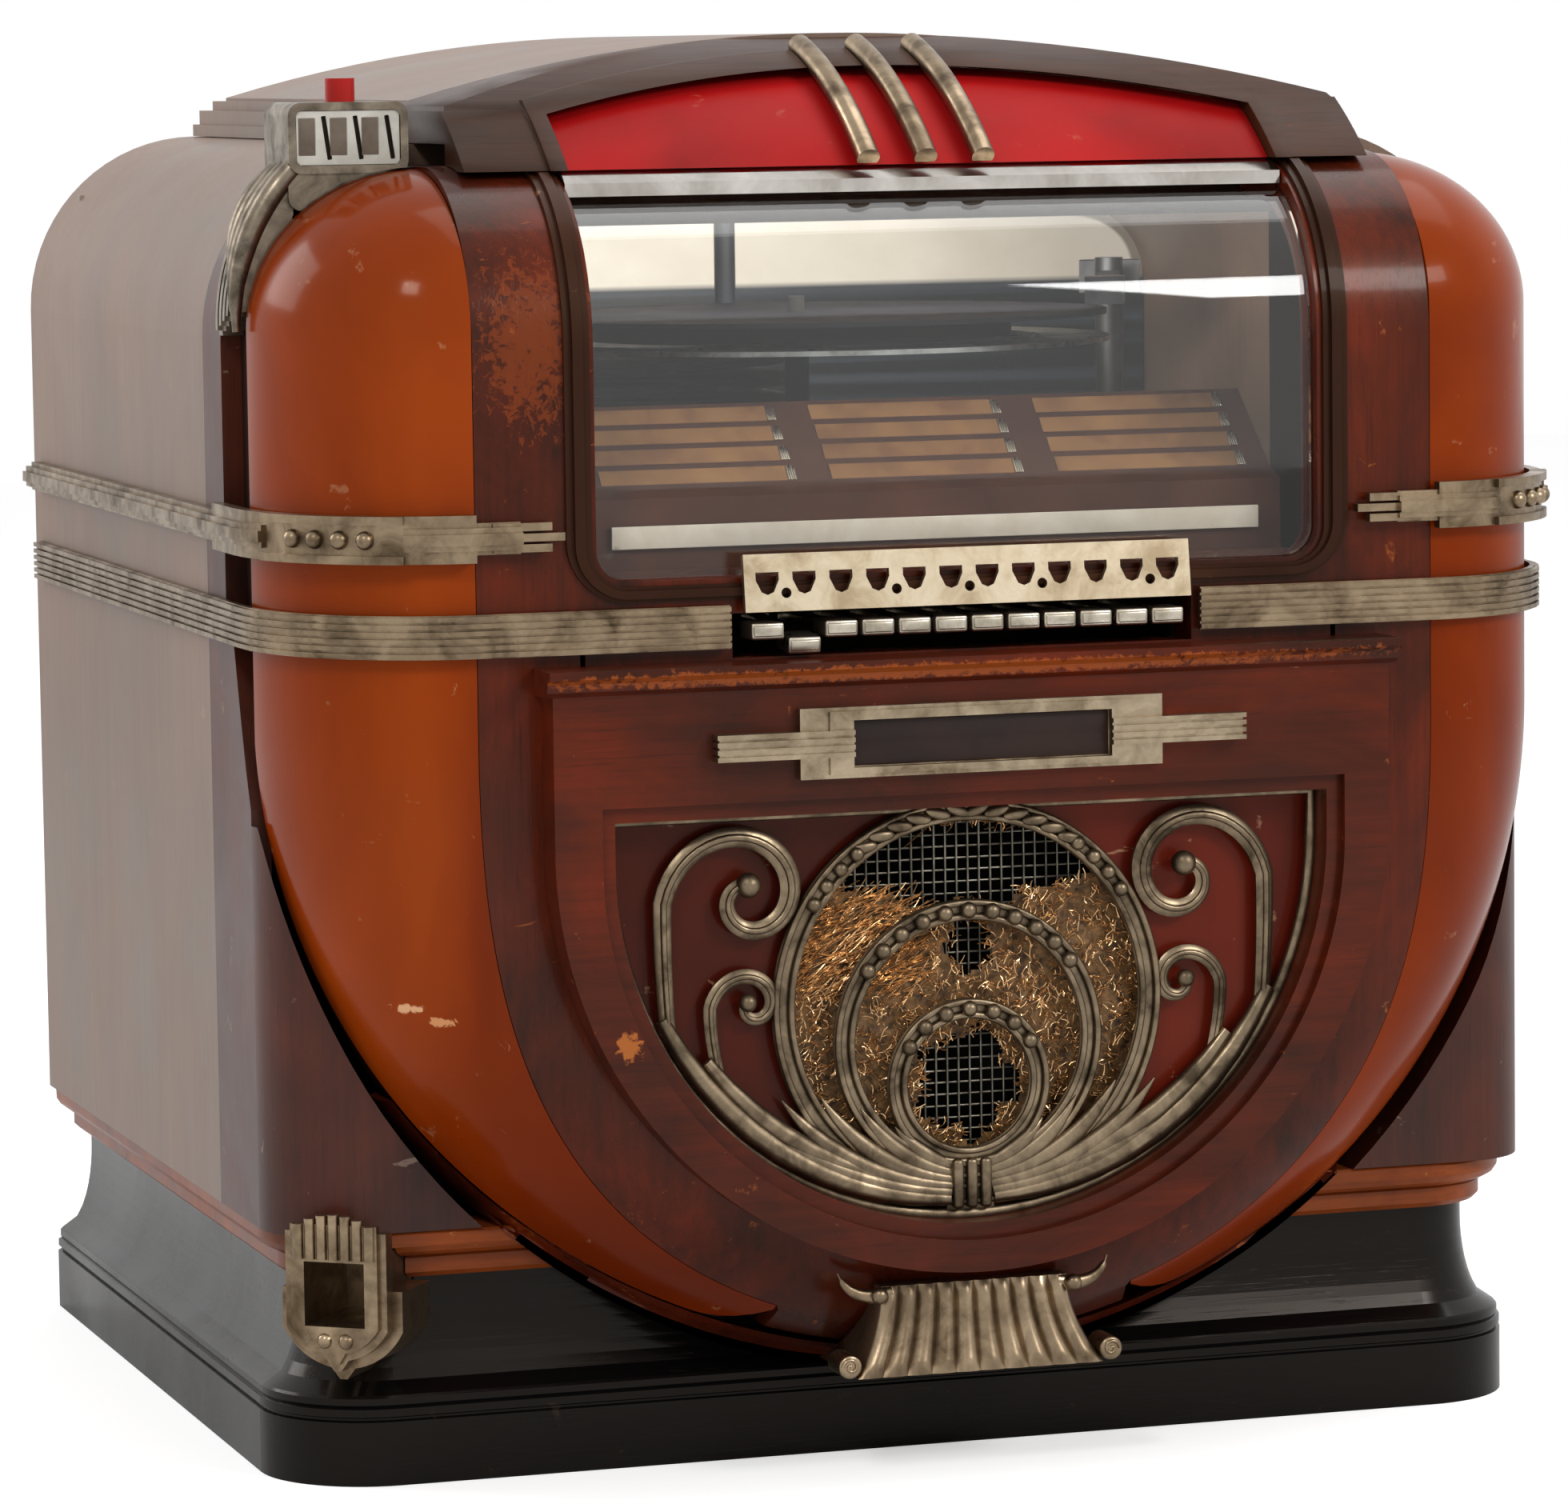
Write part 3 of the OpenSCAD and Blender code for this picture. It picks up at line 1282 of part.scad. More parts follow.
module title_board() color("#2b1a12") {
    foot = slot_z + slot_h + 4.3;
    along_x(-window_half + 4, window_half - 4) polygon([
        [front_y + front_t + gap, foot], [front_y + front_t + gap, foot + 11], [card_y + 2.3, foot + 11],
        [card_y + 2.3, title_low[1] - 4], title_low, title_high, title_high + [3, 0],
        [title_high[0] + 3, foot]
    ]);
}

module title_cards() color("#c89a60") {
    for (c = [-1 : 1], r = [0 : 3])
        translate([c * title_step, title_low[0], title_low[1]]) rotate([title_turn, 0, 0])
            box([-title_half, r * title_pitch + 0.6, gap],
                [title_half, (r + 1) * title_pitch - 0.6, gap + 1.2]);
    box([14 - window_half, card_y, window_z + 10], [window_half - 14, card_y + 2, window_z + 18.7]);
}

module mirror_panel() color("#8a97a0") {
    half = side - 57;
    high = record_z + 50;
    hole = window_half + 4;
    r = 30;
    along_y(deck_back - 3, deck_back - 1) translate([-half, deck_z]) square([2 * half, high - deck_z]);
    // Frame with a round-cornered opening
    along_y(deck_back - 6, deck_back - 2.9) difference() {
        translate([-half, deck_z]) square([2 * half, high - deck_z]);
        rounded([-hole, record_z - 40], [hole, high - 20], r);
    }
}

// Mechanism

spindle = [0, -spindle_d];
stack = spindle + [-stack_dx, stack_dy];
swing = norm([stack_dx, stack_dy]) / 2;
post_reach = record_r + post_r + 3;
post = (spindle + stack) / 2
    + sqrt(post_reach * post_reach - swing * swing) * [stack_dy, stack_dx] / (2 * swing);
tray_z = record_z - turntable_t - 3;
arm_post = [170, 30];
arm_z = record_z + record_t + 4;

module at_point(p, z) {
    translate([p[0], p[1], z]) children();
}

module mechanism_plate() color("#4a4a48") {
    difference() {
        union() {
            box([-side + board + 1, deck_front, deck_z - deck_t], [side - board - 1, deck_back, deck_z]);
            // Motor under the plate
            at_point([140, 90], deck_z - deck_t - 62) cylinder(r = 34, h = 62.5);
        }
        at_point(spindle, deck_z - deck_t - 1) cylinder(r = shaft_r + run_gap, h = deck_t + 2);
        at_point(arm_post, deck_z - deck_t - 1) cylinder(r = arm_post_r + run_gap, h = deck_t + 2);
    }
}

module turntable() color("#3b3b3b") {
    top = record_z - gap;
    at_point(spindle, deck_z - deck_t - 12) cylinder(r = shaft_r, h = top - deck_z + 12);
    at_point(spindle, deck_z + gap) cylinder(r = shaft_r + 6, h = 8);
    at_point(spindle, top - turntable_t) cylinder(r = turntable_r, h = turntable_t, $fn = 96);
    at_point(spindle, top - turntable_t - 5) cylinder(r1 = shaft_r + 2, r2 = 30, h = 5.1);
    at_point(spindle, top - 1) cylinder(r = 3.4, h = 10);
}

// A tray is a ring with an ear round the post
module tray(p, z, bore) {
    away = (post - p) / post_reach;
    difference() {
        union() {
            at_point(p, z) difference() {
                cylinder(r = record_r + 1, h = tray_t, $fn = 96);
                translate([0, 0, -1]) cylinder(r = record_r - tray_w, h = tray_t + 2, $fn = 96);
            }
            at_point(p, z) rotate([0, 0, atan2(away[1], away[0])])
                box([record_r - 4, -post_r - 1, 0], [post_reach, post_r + 1, tray_t]);
            at_point(post, z) cylinder(r = post_r + 3, h = tray_t);
        }
        at_point(post, z - 1) cylinder(r = bore, h = tray_t + 2);
    }
}

module record_magazine() color("#3a3a3c") {
    for (k = [1 : trays]) {
        tray(stack, tray_z - k * tray_pitch, post_r - 0.5);
        at_point(stack, tray_z - k * tray_pitch + tray_t - 0.2)
            cylinder(r = record_r, h = record_t, $fn = 96);
    }
    at_point(post, deck_z) cylinder(r = post_r, h = tray_z + 60 - deck_z);
    at_point(post, deck_z) cylinder(r = post_r + 8, h = 6);
}

module play_tray() color("#b8b8b8") tray(spindle, tray_z, post_r + run_gap);

module play_record() color("#101010") {
    at_point(spindle, record_z) difference() {
        cylinder(r = record_r, h = record_t, $fn = 128);
        translate([0, 0, -1]) cylinder(r = 3.6, h = record_t + 2);
    }
}

module tone_arm() color("#c0c0c0") {
    at_point(arm_post, deck_z - deck_t - 8) cylinder(r = arm_post_r, h = arm_z - deck_z + deck_t + 22);
    at_point(arm_post, deck_z + gap) cylinder(r = arm_post_r + 5, h = 8);
    at_point(arm_post, arm_z) rotate([0, 0, 249]) {
        box([-34, -5, 0], [168, 5, 8]);
        box([-46, -13, -3], [-20, 13, 12]);
        box([140, -8, -1.5], [172, 8, 9.5]);
    }
}

module amplifier() color("#77756c") {
    low = body_z + board;
    box([-150, 0, low], [150, 130, low + 24]);
    box([-130, 20, low + 23], [-60, 110, low + 86]);
    for (x = [-20 : 40 : 100]) translate([x, 65, low + 23]) cylinder(r = 16, h = 64);
}

base_plinth();
base_stripe();
cabinet_shell();
front_bulkhead();
lower_surround();
front_frame();
window_trim();
window_glass();
chrome_strip();
pilaster_upper_left();
pilaster_upper_right();
pilaster_lower_left();
pilaster_lower_right();
upper_band_left();
upper_band_right();
lower_band_left();
lower_band_right();
lid_panel();
lid_front_cap();
lid_red_panel();
lid_fins();
lid_hinge();
lid_hinge_leaf();
back_door();
lower_panel();
nameplate_frame();
grille_casting();
grille_backing();
grille_cloth();
grille_mesh();
speaker();
foot_ornament();
coin_return();
coin_casting();
coin_slot_plate();
reject_button();
selector_plate();
selector_housing();
for (k = [0 : keys - 1]) keyed(str("selector_key_", key_names[k]), k);
title_board();
title_cards();
mirror_panel();
mechanism_plate();
turntable();
record_magazine();
play_tray();
play_record();
tone_arm();
amplifier();
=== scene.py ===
import bpy
import json
import math
import random
from mathutils import Matrix, Vector


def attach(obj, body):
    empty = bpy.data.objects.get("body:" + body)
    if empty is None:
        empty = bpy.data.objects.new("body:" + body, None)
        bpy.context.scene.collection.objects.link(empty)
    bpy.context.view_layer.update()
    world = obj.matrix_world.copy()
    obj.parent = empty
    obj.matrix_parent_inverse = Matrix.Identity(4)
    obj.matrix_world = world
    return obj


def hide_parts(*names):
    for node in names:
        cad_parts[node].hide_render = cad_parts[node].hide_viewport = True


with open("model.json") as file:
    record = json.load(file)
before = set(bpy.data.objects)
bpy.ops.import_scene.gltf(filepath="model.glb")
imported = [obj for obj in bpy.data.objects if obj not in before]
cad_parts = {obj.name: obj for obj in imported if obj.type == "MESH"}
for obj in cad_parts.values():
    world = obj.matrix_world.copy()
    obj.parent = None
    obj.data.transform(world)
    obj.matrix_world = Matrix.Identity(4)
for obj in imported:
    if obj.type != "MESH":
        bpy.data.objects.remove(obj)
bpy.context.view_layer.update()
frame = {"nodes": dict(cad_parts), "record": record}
nodes = frame["nodes"]

# Shapes are written in millimetres, materials and lights in metres; the front faces -Y
mm = 0.001


# Small steps that every material is built from

def colour(hexText):
    # A screen colour as the linear values that the shader takes
    parts = [int(hexText[i:i + 2], 16) / 255 for i in (0, 2, 4)]
    linear = [c / 12.92 if c <= 0.04045 else ((c + 0.055) / 1.055) ** 2.4 for c in parts]
    return (*linear, 1.0)


def feed(tree, socket, value):
    # A socket takes another node's output or a plain value
    if hasattr(value, "is_linked"):
        tree.links.new(value, socket)
    else:
        socket.default_value = value


def addNode(tree, kind, sockets=None, **settings):
    node = tree.nodes.new("ShaderNode" + kind)
    for label, value in settings.items():
        setattr(node, label, value)
    for label, value in (sockets or {}).items():
        feed(tree, node.inputs[label], value)
    return node


def addMath(tree, operation, *values, clamp=False):
    return addNode(tree, "Math", dict(enumerate(values)), operation=operation, use_clamp=clamp).outputs[0]


def addRamp(tree, value, stops):
    ramp = addNode(tree, "ValToRGB", {0: value})
    elements = ramp.color_ramp.elements
    while len(elements) < len(stops):
        elements.new(0.5)
    for element, (place, shade) in zip(elements, stops):
        element.position, element.color = place, colour(shade)
    return ramp.outputs[0]


def addRange(tree, value, low, high, toLow=0.0, toHigh=1.0):
    return addNode(tree, "MapRange", {"Value": value, "From Min": low, "From Max": high,
                                      "To Min": toLow, "To Max": toHigh}).outputs[0]


def addMix(tree, factor, first, second, blend="MIX"):
    # 6 and 7 are the node's two colour sockets
    node = addNode(tree, "Mix", {0: factor, 6: first, 7: second}, data_type="RGBA", blend_type=blend)
    return node.outputs[2]


def addNoise(tree, vector, scale, detail, roughness=0.5, distortion=0.0, stretch=None):
    if stretch:
        vector = addNode(tree, "Mapping", {"Vector": vector, "Scale": stretch}).outputs[0]
    return addNode(tree, "TexNoise", {"Vector": vector, "Scale": scale, "Detail": detail,
                                      "Roughness": roughness, "Distortion": distortion}).outputs[0]


def addBump(tree, height, strength, distance):
    return addNode(tree, "Bump", {"Height": height, "Strength": strength, "Distance": distance}).outputs[0]


# Effects that several materials share

def newGroup(name, colours, numbers, outputs=("Color", "Roughness", "Height")):
    group = bpy.data.node_groups.new(name, "ShaderNodeTree")
    kinds = {"Vector": "Vector", **dict.fromkeys(colours, "Color"), **dict.fromkeys(numbers, "Float")}
    for label, kind in kinds.items():
        group.interface.new_socket(name=label, in_out="INPUT", socket_type="NodeSocket" + kind)
    for label in outputs:
        kind = "NodeSocketColor" if label == "Color" else "NodeSocketFloat"
        group.interface.new_socket(name=label, in_out="OUTPUT", socket_type=kind)
    return group, group.nodes.new("NodeGroupInput").outputs, group.nodes.new("NodeGroupOutput").inputs


def useGroup(tree, group, vector, **values):
    return addNode(tree, "Group", {"Vector": vector, **values}, node_tree=group).outputs


def makeGrainGroup():
    # Fibres that run along Z before the material turns them, with broad figure across them
    tree, given, out = newGroup("lacqueredGrain", ("Dark", "Light"), ("Figure", "Fibre", "Pores"),
                                ("Color", "Height"))
    vector = given["Vector"]
    broad = addNoise(tree, vector, 3.4, 6, 0.6, 1.0, stretch=(5, 5, 2.2))
    streak = addNoise(tree, vector, 2.0, 5, 0.6, 0.2, stretch=(120, 120, 3.0))
    pores = addRange(tree, addNoise(tree, vector, 2.6, 3, 0.6, stretch=(420, 420, 14)), 0.56, 0.7)
    shares = [addMath(tree, "MULTIPLY", addRange(tree, noise, 0.3, 0.7, -0.5, 0.5), given[label])
              for noise, label in ((broad, "Figure"), (streak, "Fibre"))]
    value = addMath(tree, "ADD", addMath(tree, "ADD", *shares), 0.5, clamp=True)
    shade = addMix(tree, value, given["Dark"], given["Light"])
    darkened = addMath(tree, "MULTIPLY", pores, given["Pores"], clamp=True)
    feed(tree, out["Color"], addMix(tree, darkened, shade, given["Dark"]))
    feed(tree, out["Height"], addMath(tree, "MULTIPLY", pores, -1.0))
    return tree


def makeWearGroup():
    # Stains, bruises and fine scratches of an old finish
    tree, given, out = newGroup("oldFinish", ("Color", "Bruise"), ("Amount", "Grime"))
    vector = given["Vector"]
    cloud = addNoise(tree, vector, 9.0, 6, 0.6, 0.4)
    spots = addNoise(tree, vector, 60.0, 5, 0.65, 0.3)
    lines = addNoise(tree, vector, 3.0, 4, 0.7, 1.2, stretch=(14, 90, 40))
    chips, scratches = addRange(tree, spots, 0.665, 0.71), addRange(tree, lines, 0.70, 0.735)
    mask = addMath(tree, "MULTIPLY", addMath(tree, "MAXIMUM", chips, scratches), given["Amount"], clamp=True)
    grime = addMath(tree, "MULTIPLY", addRange(tree, cloud, 0.62, 0.35), given["Grime"], clamp=True)
    dirty = addMix(tree, grime, given["Color"], (0.012, 0.008, 0.006, 1))
    worn = addMath(tree, "MULTIPLY", mask, 0.3)
    dull = addMath(tree, "ADD", addRange(tree, cloud, 0.3, 0.7, 0.0, 0.16), worn)
    feed(tree, out["Color"], addMix(tree, mask, dirty, given["Bruise"]))
    feed(tree, out["Roughness"], dull)
    feed(tree, out["Height"], addMath(tree, "MULTIPLY", mask, -1.0))
    return tree


def makeTarnishGroup():
    # Dulled plating with darker pits and brighter rubbed places
    tree, given, out = newGroup("tarnish", ("Bright", "Dull"), ("Scale",))
    cloud = addNoise(tree, given["Vector"], given["Scale"], 6, 0.62, 0.5)
    rubbed = addRange(tree, cloud, 0.32, 0.66)
    feed(tree, out["Color"], addMix(tree, rubbed, given["Dull"], given["Bright"]))
    feed(tree, out["Roughness"], addRange(tree, cloud, 0.3, 0.7, 0.16, -0.06))
    feed(tree, out["Height"], addNoise(tree, given["Vector"], 420.0, 4, 0.6))
    return tree


grainGroup = makeGrainGroup()
wearGroup = makeWearGroup()
tarnishGroup = makeTarnishGroup()


# Kinds of material

def startMaterial(name, sockets):
    mat = bpy.data.materials.new(name)
    mat.use_nodes = True
    tree = mat.node_tree
    shader = tree.nodes["Principled BSDF"].inputs
    for label, value in sockets.items():
        shader[label].default_value = value
    return mat, tree, shader, addNode(tree, "TexCoord").outputs["Object"]


def addFinish(tree, shader, place, shade, bruise, wear, grime, rough):
    # The old finish over a colour; gives back its height for the bump
    worn = useGroup(tree, wearGroup, place, Color=shade, Bruise=colour(bruise), Amount=wear, Grime=grime)
    feed(tree, shader["Base Color"], worn["Color"])
    feed(tree, shader["Roughness"], addMath(tree, "ADD", worn["Roughness"], rough))
    return worn["Height"]


def addWoodBump(tree, shader, poreHeight, wearHeight):
    height = addMath(tree, "ADD", addMath(tree, "MULTIPLY", poreHeight, 0.4), wearHeight)
    feed(tree, shader["Normal"], addBump(tree, height, 0.25, 0.0004))


def woodMaterial(name, dark, light, bruise, turn, figure, fibre, pores, wear, grime, rough, coat, gloss):
    mat, tree, shader, place = startMaterial(name, {
        "Coat Weight": coat, "Coat Roughness": 0.12, "Specular IOR Level": gloss,
        "Specular Tint": (1.0, 0.8, 0.65, 1)})
    turned = addNode(tree, "Mapping", {"Vector": place, "Rotation": (0, math.radians(turn), 0)}).outputs[0]
    grain = useGroup(tree, grainGroup, turned, Dark=colour(dark), Light=colour(light),
                     Figure=figure, Fibre=fibre, Pores=pores)
    wearHeight = addFinish(tree, shader, place, grain["Color"], bruise, wear, grime, rough)
    addWoodBump(tree, shader, grain["Height"], wearHeight)
    return mat


def metalMaterial(name, bright, dull, rough, scale, metallic=1.0, bump=0.12):
    mat, tree, shader, place = startMaterial(name, {"Metallic": metallic})
    tarnish = useGroup(tree, tarnishGroup, place, Bright=colour(bright), Dull=colour(dull), Scale=scale)
    feed(tree, shader["Base Color"], tarnish["Color"])
    feed(tree, shader["Roughness"], addMath(tree, "ADD", tarnish["Roughness"], rough, clamp=True))
    feed(tree, shader["Normal"], addBump(tree, tarnish["Height"], bump, 0.0002))
    return mat


def plasticMaterial(name, deep, mid, pale, rough, coat, wear, gloss):
    # Cast plastic: soft clouds of colour under a polished skin, with a few old scratches
    mat, tree, shader, place = startMaterial(name, {
        "Coat Weight": coat, "Coat Roughness": 0.08, "Specular IOR Level": gloss,
        "Specular Tint": (1.0, 0.75, 0.55, 1)})
    cloud = addNoise(tree, place, 7.0, 5, 0.5, 0.6, stretch=(1, 1, 0.5))
    shade = addRamp(tree, cloud, [(0.3, deep), (0.5, mid), (0.72, pale)])
    addFinish(tree, shader, place, shade, "e0b48a", wear, 0.12, rough)
    feed(tree, shader["Normal"], addBump(tree, addNoise(tree, place, 30.0, 3), 0.06, 0.0006))
    return mat


def paintMaterial(name, deep, pale, rough, gloss=0.3, wear=0.2, scale=26, bump=0.1, coat=0.0,
                  bruise="8a8478"):
    mat, tree, shader, place = startMaterial(name, {
        "Coat Weight": coat, "Coat Roughness": 0.1, "Specular IOR Level": gloss})
    cloud = addNoise(tree, place, scale, 6, 0.6, 0.3)
    shade = addRamp(tree, cloud, [(0.35, deep), (0.7, pale)])
    addFinish(tree, shader, place, shade, bruise, wear, 0.2, rough)
    feed(tree, shader["Normal"], addBump(tree, cloud, bump, 0.0004))
    return mat


def glassMaterial(name):
    # Shadow and diffuse rays pass straight through, so light reaches what is behind
    mat, tree, shader, place = startMaterial(name, {
        "Transmission Weight": 1.0, "IOR": 1.45, "Base Color": (0.96, 0.97, 0.95, 1)})
    smears = addNoise(tree, place, 14.0, 5, 0.6, 0.8)
    feed(tree, shader["Roughness"], addRange(tree, smears, 0.45, 0.75, 0.0, 0.05))
    path = addNode(tree, "LightPath").outputs
    passing = addMath(tree, "MAXIMUM", path["Is Shadow Ray"], path["Is Diffuse Ray"])
    mixer = addNode(tree, "MixShader", {0: passing, 1: tree.nodes["Principled BSDF"].outputs[0],
                                        2: addNode(tree, "BsdfTransparent").outputs[0]})
    feed(tree, tree.nodes["Material Output"].inputs["Surface"], mixer.outputs[0])
    return mat


def reflectorMaterial(name):
    # Silvered sheet: a round-cornered pale field above the records, and below it a painted reflection of the
    # dark record stack
    field = {"half": 0.239, "low": 0.446, "high": 0.481, "corner": 0.032, "soft": 0.0015}
    mat, tree, shader, place = startMaterial(name, {"Roughness": 0.4, "Specular IOR Level": 0.2})
    axes = addNode(tree, "SeparateXYZ", {0: place}).outputs
    cloud = addNoise(tree, place, 9.0, 5, 0.6)
    pale = addRamp(tree, cloud, [(0.35, "d2ccc0"), (0.7, "ece8e0")])
    shaded = addRamp(tree, cloud, [(0.35, "6e655a"), (0.7, "948b7e")])
    # Painted reflection of the record stack below the pale field: near-black with fine level lines
    lines = addNoise(tree, place, 1.0, 2, stretch=(2, 2, 190))
    dark = addRamp(tree, lines, [(0.4, "0e1014"), (0.62, "343a44")])
    across = addMath(tree, "SUBTRACT", addMath(tree, "ABSOLUTE", axes[0]), field["half"] - field["corner"])
    up = addMath(tree, "SUBTRACT", axes[2], field["high"] - field["corner"])
    squares = [addMath(tree, "POWER", addMath(tree, "MAXIMUM", offset, 0.0), 2.0) for offset in (across, up)]
    distance = addMath(tree, "SQRT", addMath(tree, "ADD", *squares))
    inside = addRange(tree, distance, field["corner"] + field["soft"], field["corner"])
    # Under the low edge of the pale field the painted reflection takes over
    above = addRange(tree, axes[2], field["low"] - field["soft"], field["low"] + field["soft"])
    feed(tree, shader["Base Color"], addMix(tree, above, dark, addMix(tree, inside, shaded, pale)))
    return mat


def shellMaterial(name):
    # Faded veneer on the sides; in front of the seam the rounded corner keeps its red-brown walnut
    shell = {"seam": -0.120, "blend": 0.0012, "top": 0.47, "darkenTop": 0.45, "darkenLow": 0.25, "darkenBy": 0.12,
             "line": 0.0006, "lineShade": 0.75}
    mat, tree, shader, place = startMaterial(name, {
        "Coat Weight": 0.12, "Coat Roughness": 0.15, "Specular IOR Level": 0.25})
    axes = addNode(tree, "SeparateXYZ", {0: place}).outputs
    faded = useGroup(tree, grainGroup, place, Dark=colour("745b4c"), Light=colour("8a7160"),
                     Figure=0.5, Fibre=0.35, Pores=0.4)
    bright = useGroup(tree, grainGroup, place, Dark=colour("2a0f06"), Light=colour("5a2410"),
                      Figure=0.8, Fibre=0.3, Pores=0.4)
    inFront = addRange(tree, axes[1], shell["seam"] + shell["blend"], shell["seam"])
    under = addRange(tree, axes[2], shell["top"] + 0.01, shell["top"])
    shade = addMix(tree, addMath(tree, "MULTIPLY", inFront, under), faded["Color"], bright["Color"])
    # Darker towards its lower edge, and a dark line along the seam
    low = addRange(tree, axes[2], shell["darkenTop"], shell["darkenLow"], 0.0, shell["darkenBy"])
    shade = addMix(tree, low, shade, (0.12, 0.085, 0.065, 1), "MULTIPLY")
    crack = addMath(tree, "ABSOLUTE", addMath(tree, "SUBTRACT", axes[1], shell["seam"]))
    line = addRange(tree, crack, shell["line"], 2 * shell["line"], shell["lineShade"], 0.0)
    shade = addMix(tree, line, shade, colour("1c110b"))
    wearHeight = addFinish(tree, shader, place, shade, "a8917f", 0.35, 0.3, 0.36)
    addWoodBump(tree, shader, faded["Height"], wearHeight)
    return mat


print("materials")
woods = {  # dark, light, bruise, turn, figure, fibre, pores, wear, grime, rough, coat, gloss
    "base_black": ("050505", "0c0b0b", "3a2a1c", 90, 0.3, 0.2, 0.2, 0.35, 0.1, 0.16, 0.12, 0.12),
    "stripe_moulding": ("5e240a", "a04c18", "c98a50", 90, 0.8, 0.3, 0.3, 0.5, 0.5, 0.3, 0.1, 0.2),
    "side_veneer": ("765f52", "897264", "a48c7a", 0, 0.5, 0.35, 0.4, 0.25, 0.25, 0.42, 0.15, 0.3),
    "dark_inside": ("0d0a08", "17120f", "2a211b", 0, 0.5, 0.4, 0.5, 0.5, 0.4, 0.7, 0.0, 0.2),
    "recess": ("120603", "2c1209", "3a1c10", 0, 0.5, 0.4, 0.5, 0.5, 0.4, 0.6, 0.0, 0.1),
    "walnut": ("280b03", "6a2108", "9c5422", 0, 0.9, 0.3, 0.4, 0.6, 0.5, 0.2, 0.15, 0.15),
    "walnut_dark": ("2b0d05", "68210a", "9a5026", 90, 0.9, 0.3, 0.4, 0.6, 0.6, 0.24, 0.12, 0.15),
    "cap_wood": ("241006", "4c2813", "7c4a29", 90, 0.8, 0.3, 0.4, 0.5, 0.4, 0.34, 0.03, 0.12),
    "back_board": ("4a3626", "7a5c42", "9a7c5e", 0, 0.4, 0.5, 0.6, 0.2, 0.4, 0.6, 0.0, 0.2),
}
plastics = {  # deep, mid, pale, rough, coat, wear, gloss
    "trim_brown": ("1e0d06", "331a0f", "4a2a1c", 0.3, 0.05, 0.3, 0.12),
    "amber_plastic": ("5c1b02", "782802", "943a08", 0.13, 0.08, 0.16, 0.08),
    "red_panel": ("86080a", "a41012", "b41618", 0.34, 0.0, 0.1, 0.06),
    "red_backing": ("320904", "5a160a", "70200e", 0.26, 0.1, 0.3, 0.15),
    "button_red": ("8c0c0c", "b01414", "c42420", 0.25, 0.15, 0.1, 0.2),
}
metals = {  # bright, dull, rough, scale, metallic, bump
    "nickel": ("d2cdc6", "a29c94", 0.1, 30, 1.0, 0.04),
    "cast_metal": ("a08c72", "564736", 0.3, 60),
    "grille_metal": ("8e7d66", "463b2e", 0.34, 70),
    "hinge_steel": ("8d877a", "4b463c", 0.4, 50),
    "nameplate_metal": ("b5a48a", "6c5d49", 0.28, 60),
    "gold_cloth": ("8a6438", "24160a", 0.5, 240, 0.3, 0.8),
    "gold_fibre": ("f6cc98", "a07243", 0.2, 300, 0.9, 0.1),
    "mesh_wire": ("8c867a", "4a463c", 0.45, 90),
    "coin_grey": ("8c8070", "463e34", 0.34, 70),
    "selector_metal": ("cfc0a6", "948369", 0.3, 60),
    "key_plastic": ("cfc6b6", "8f8574", 0.28, 90),
    "holder_metal": ("d0c6b4", "8c7f6c", 0.25, 90),
    "tray_steel": ("a8a8a6", "5e5e5c", 0.3, 50),
    "arm_metal": ("5c5c5e", "3a3a3c", 0.45, 50),
}
paints = {  # deep, pale, rough, gloss, wear, scale, bump, coat, bruise
    "speaker_black": ("0a0a0a", "1a1917", 0.6),
    "coin_plate": ("b9b5a9", "e2dfd6", 0.3, 0.3, 0.5, 40, 0.05, 0.2, "5a5248"),
    "name_field": ("1e0e08", "2e1810", 0.4, 0.2, 0.1, 26, 0.1, 0.1),
    "title_brown": ("40241a", "583424", 0.5, 0.15),
    "title_card": ("7c5230", "a07444", 0.75, 0.3, 0.5, 50, 0.1, 0.0, "5a3c22"),
    "coin_label": ("5c5044", "76695a", 0.5, 0.3, 0.3, 60),
    "pale_card": ("d0c4b0", "e8dfd0", 0.7, 0.3, 0.4, 40, 0.1, 0.0, "6a5a48"),
    "deck_grey": ("1c1c1b", "2f2f2c", 0.5),
    "platter_dark": ("141414", "242424", 0.8),
    "stack_dark": ("14161b", "262a33", 0.4, 0.15),
    "record_black": ("101116", "1c1e25", 0.5, 0.1),
    "amp_grey": ("4a4a44", "6a6a62", 0.5),
}
finishes = {"window_glass": glassMaterial("window_glass"), "reflector": reflectorMaterial("reflector")}
kinds = ((woodMaterial, woods), (plasticMaterial, plastics), (metalMaterial, metals), (paintMaterial, paints))
for makeKind, looks in kinds:
    for slot, look in looks.items():
        finishes[slot] = makeKind(slot, *look)


def addMark(slot, place, reach, shade, ragged, strength):
    tree = finishes[slot].node_tree
    base = tree.nodes["Principled BSDF"].inputs["Base Color"]
    under = base.links[0].from_socket
    here = addNode(tree, "TexCoord").outputs["Object"]
    centred = addNode(tree, "Mapping", {"Vector": here, "Location": [-p / r for p, r in zip(place, reach)],
                                        "Scale": [1 / r for r in reach]}).outputs[0]
    distance = addNode(tree, "VectorMath", {0: centred}, operation="LENGTH").outputs["Value"]
    torn = addMath(tree, "SUBTRACT", addNoise(tree, here, 260.0, 4, 0.7, 0.6), 0.5)
    edge = addMath(tree, "ADD", distance, addMath(tree, "MULTIPLY", torn, 6 * ragged))
    mask = addRange(tree, edge, 1.0, 0.7, 0.0, strength)
    feed(tree, base, addMix(tree, mask, under, colour(shade)))
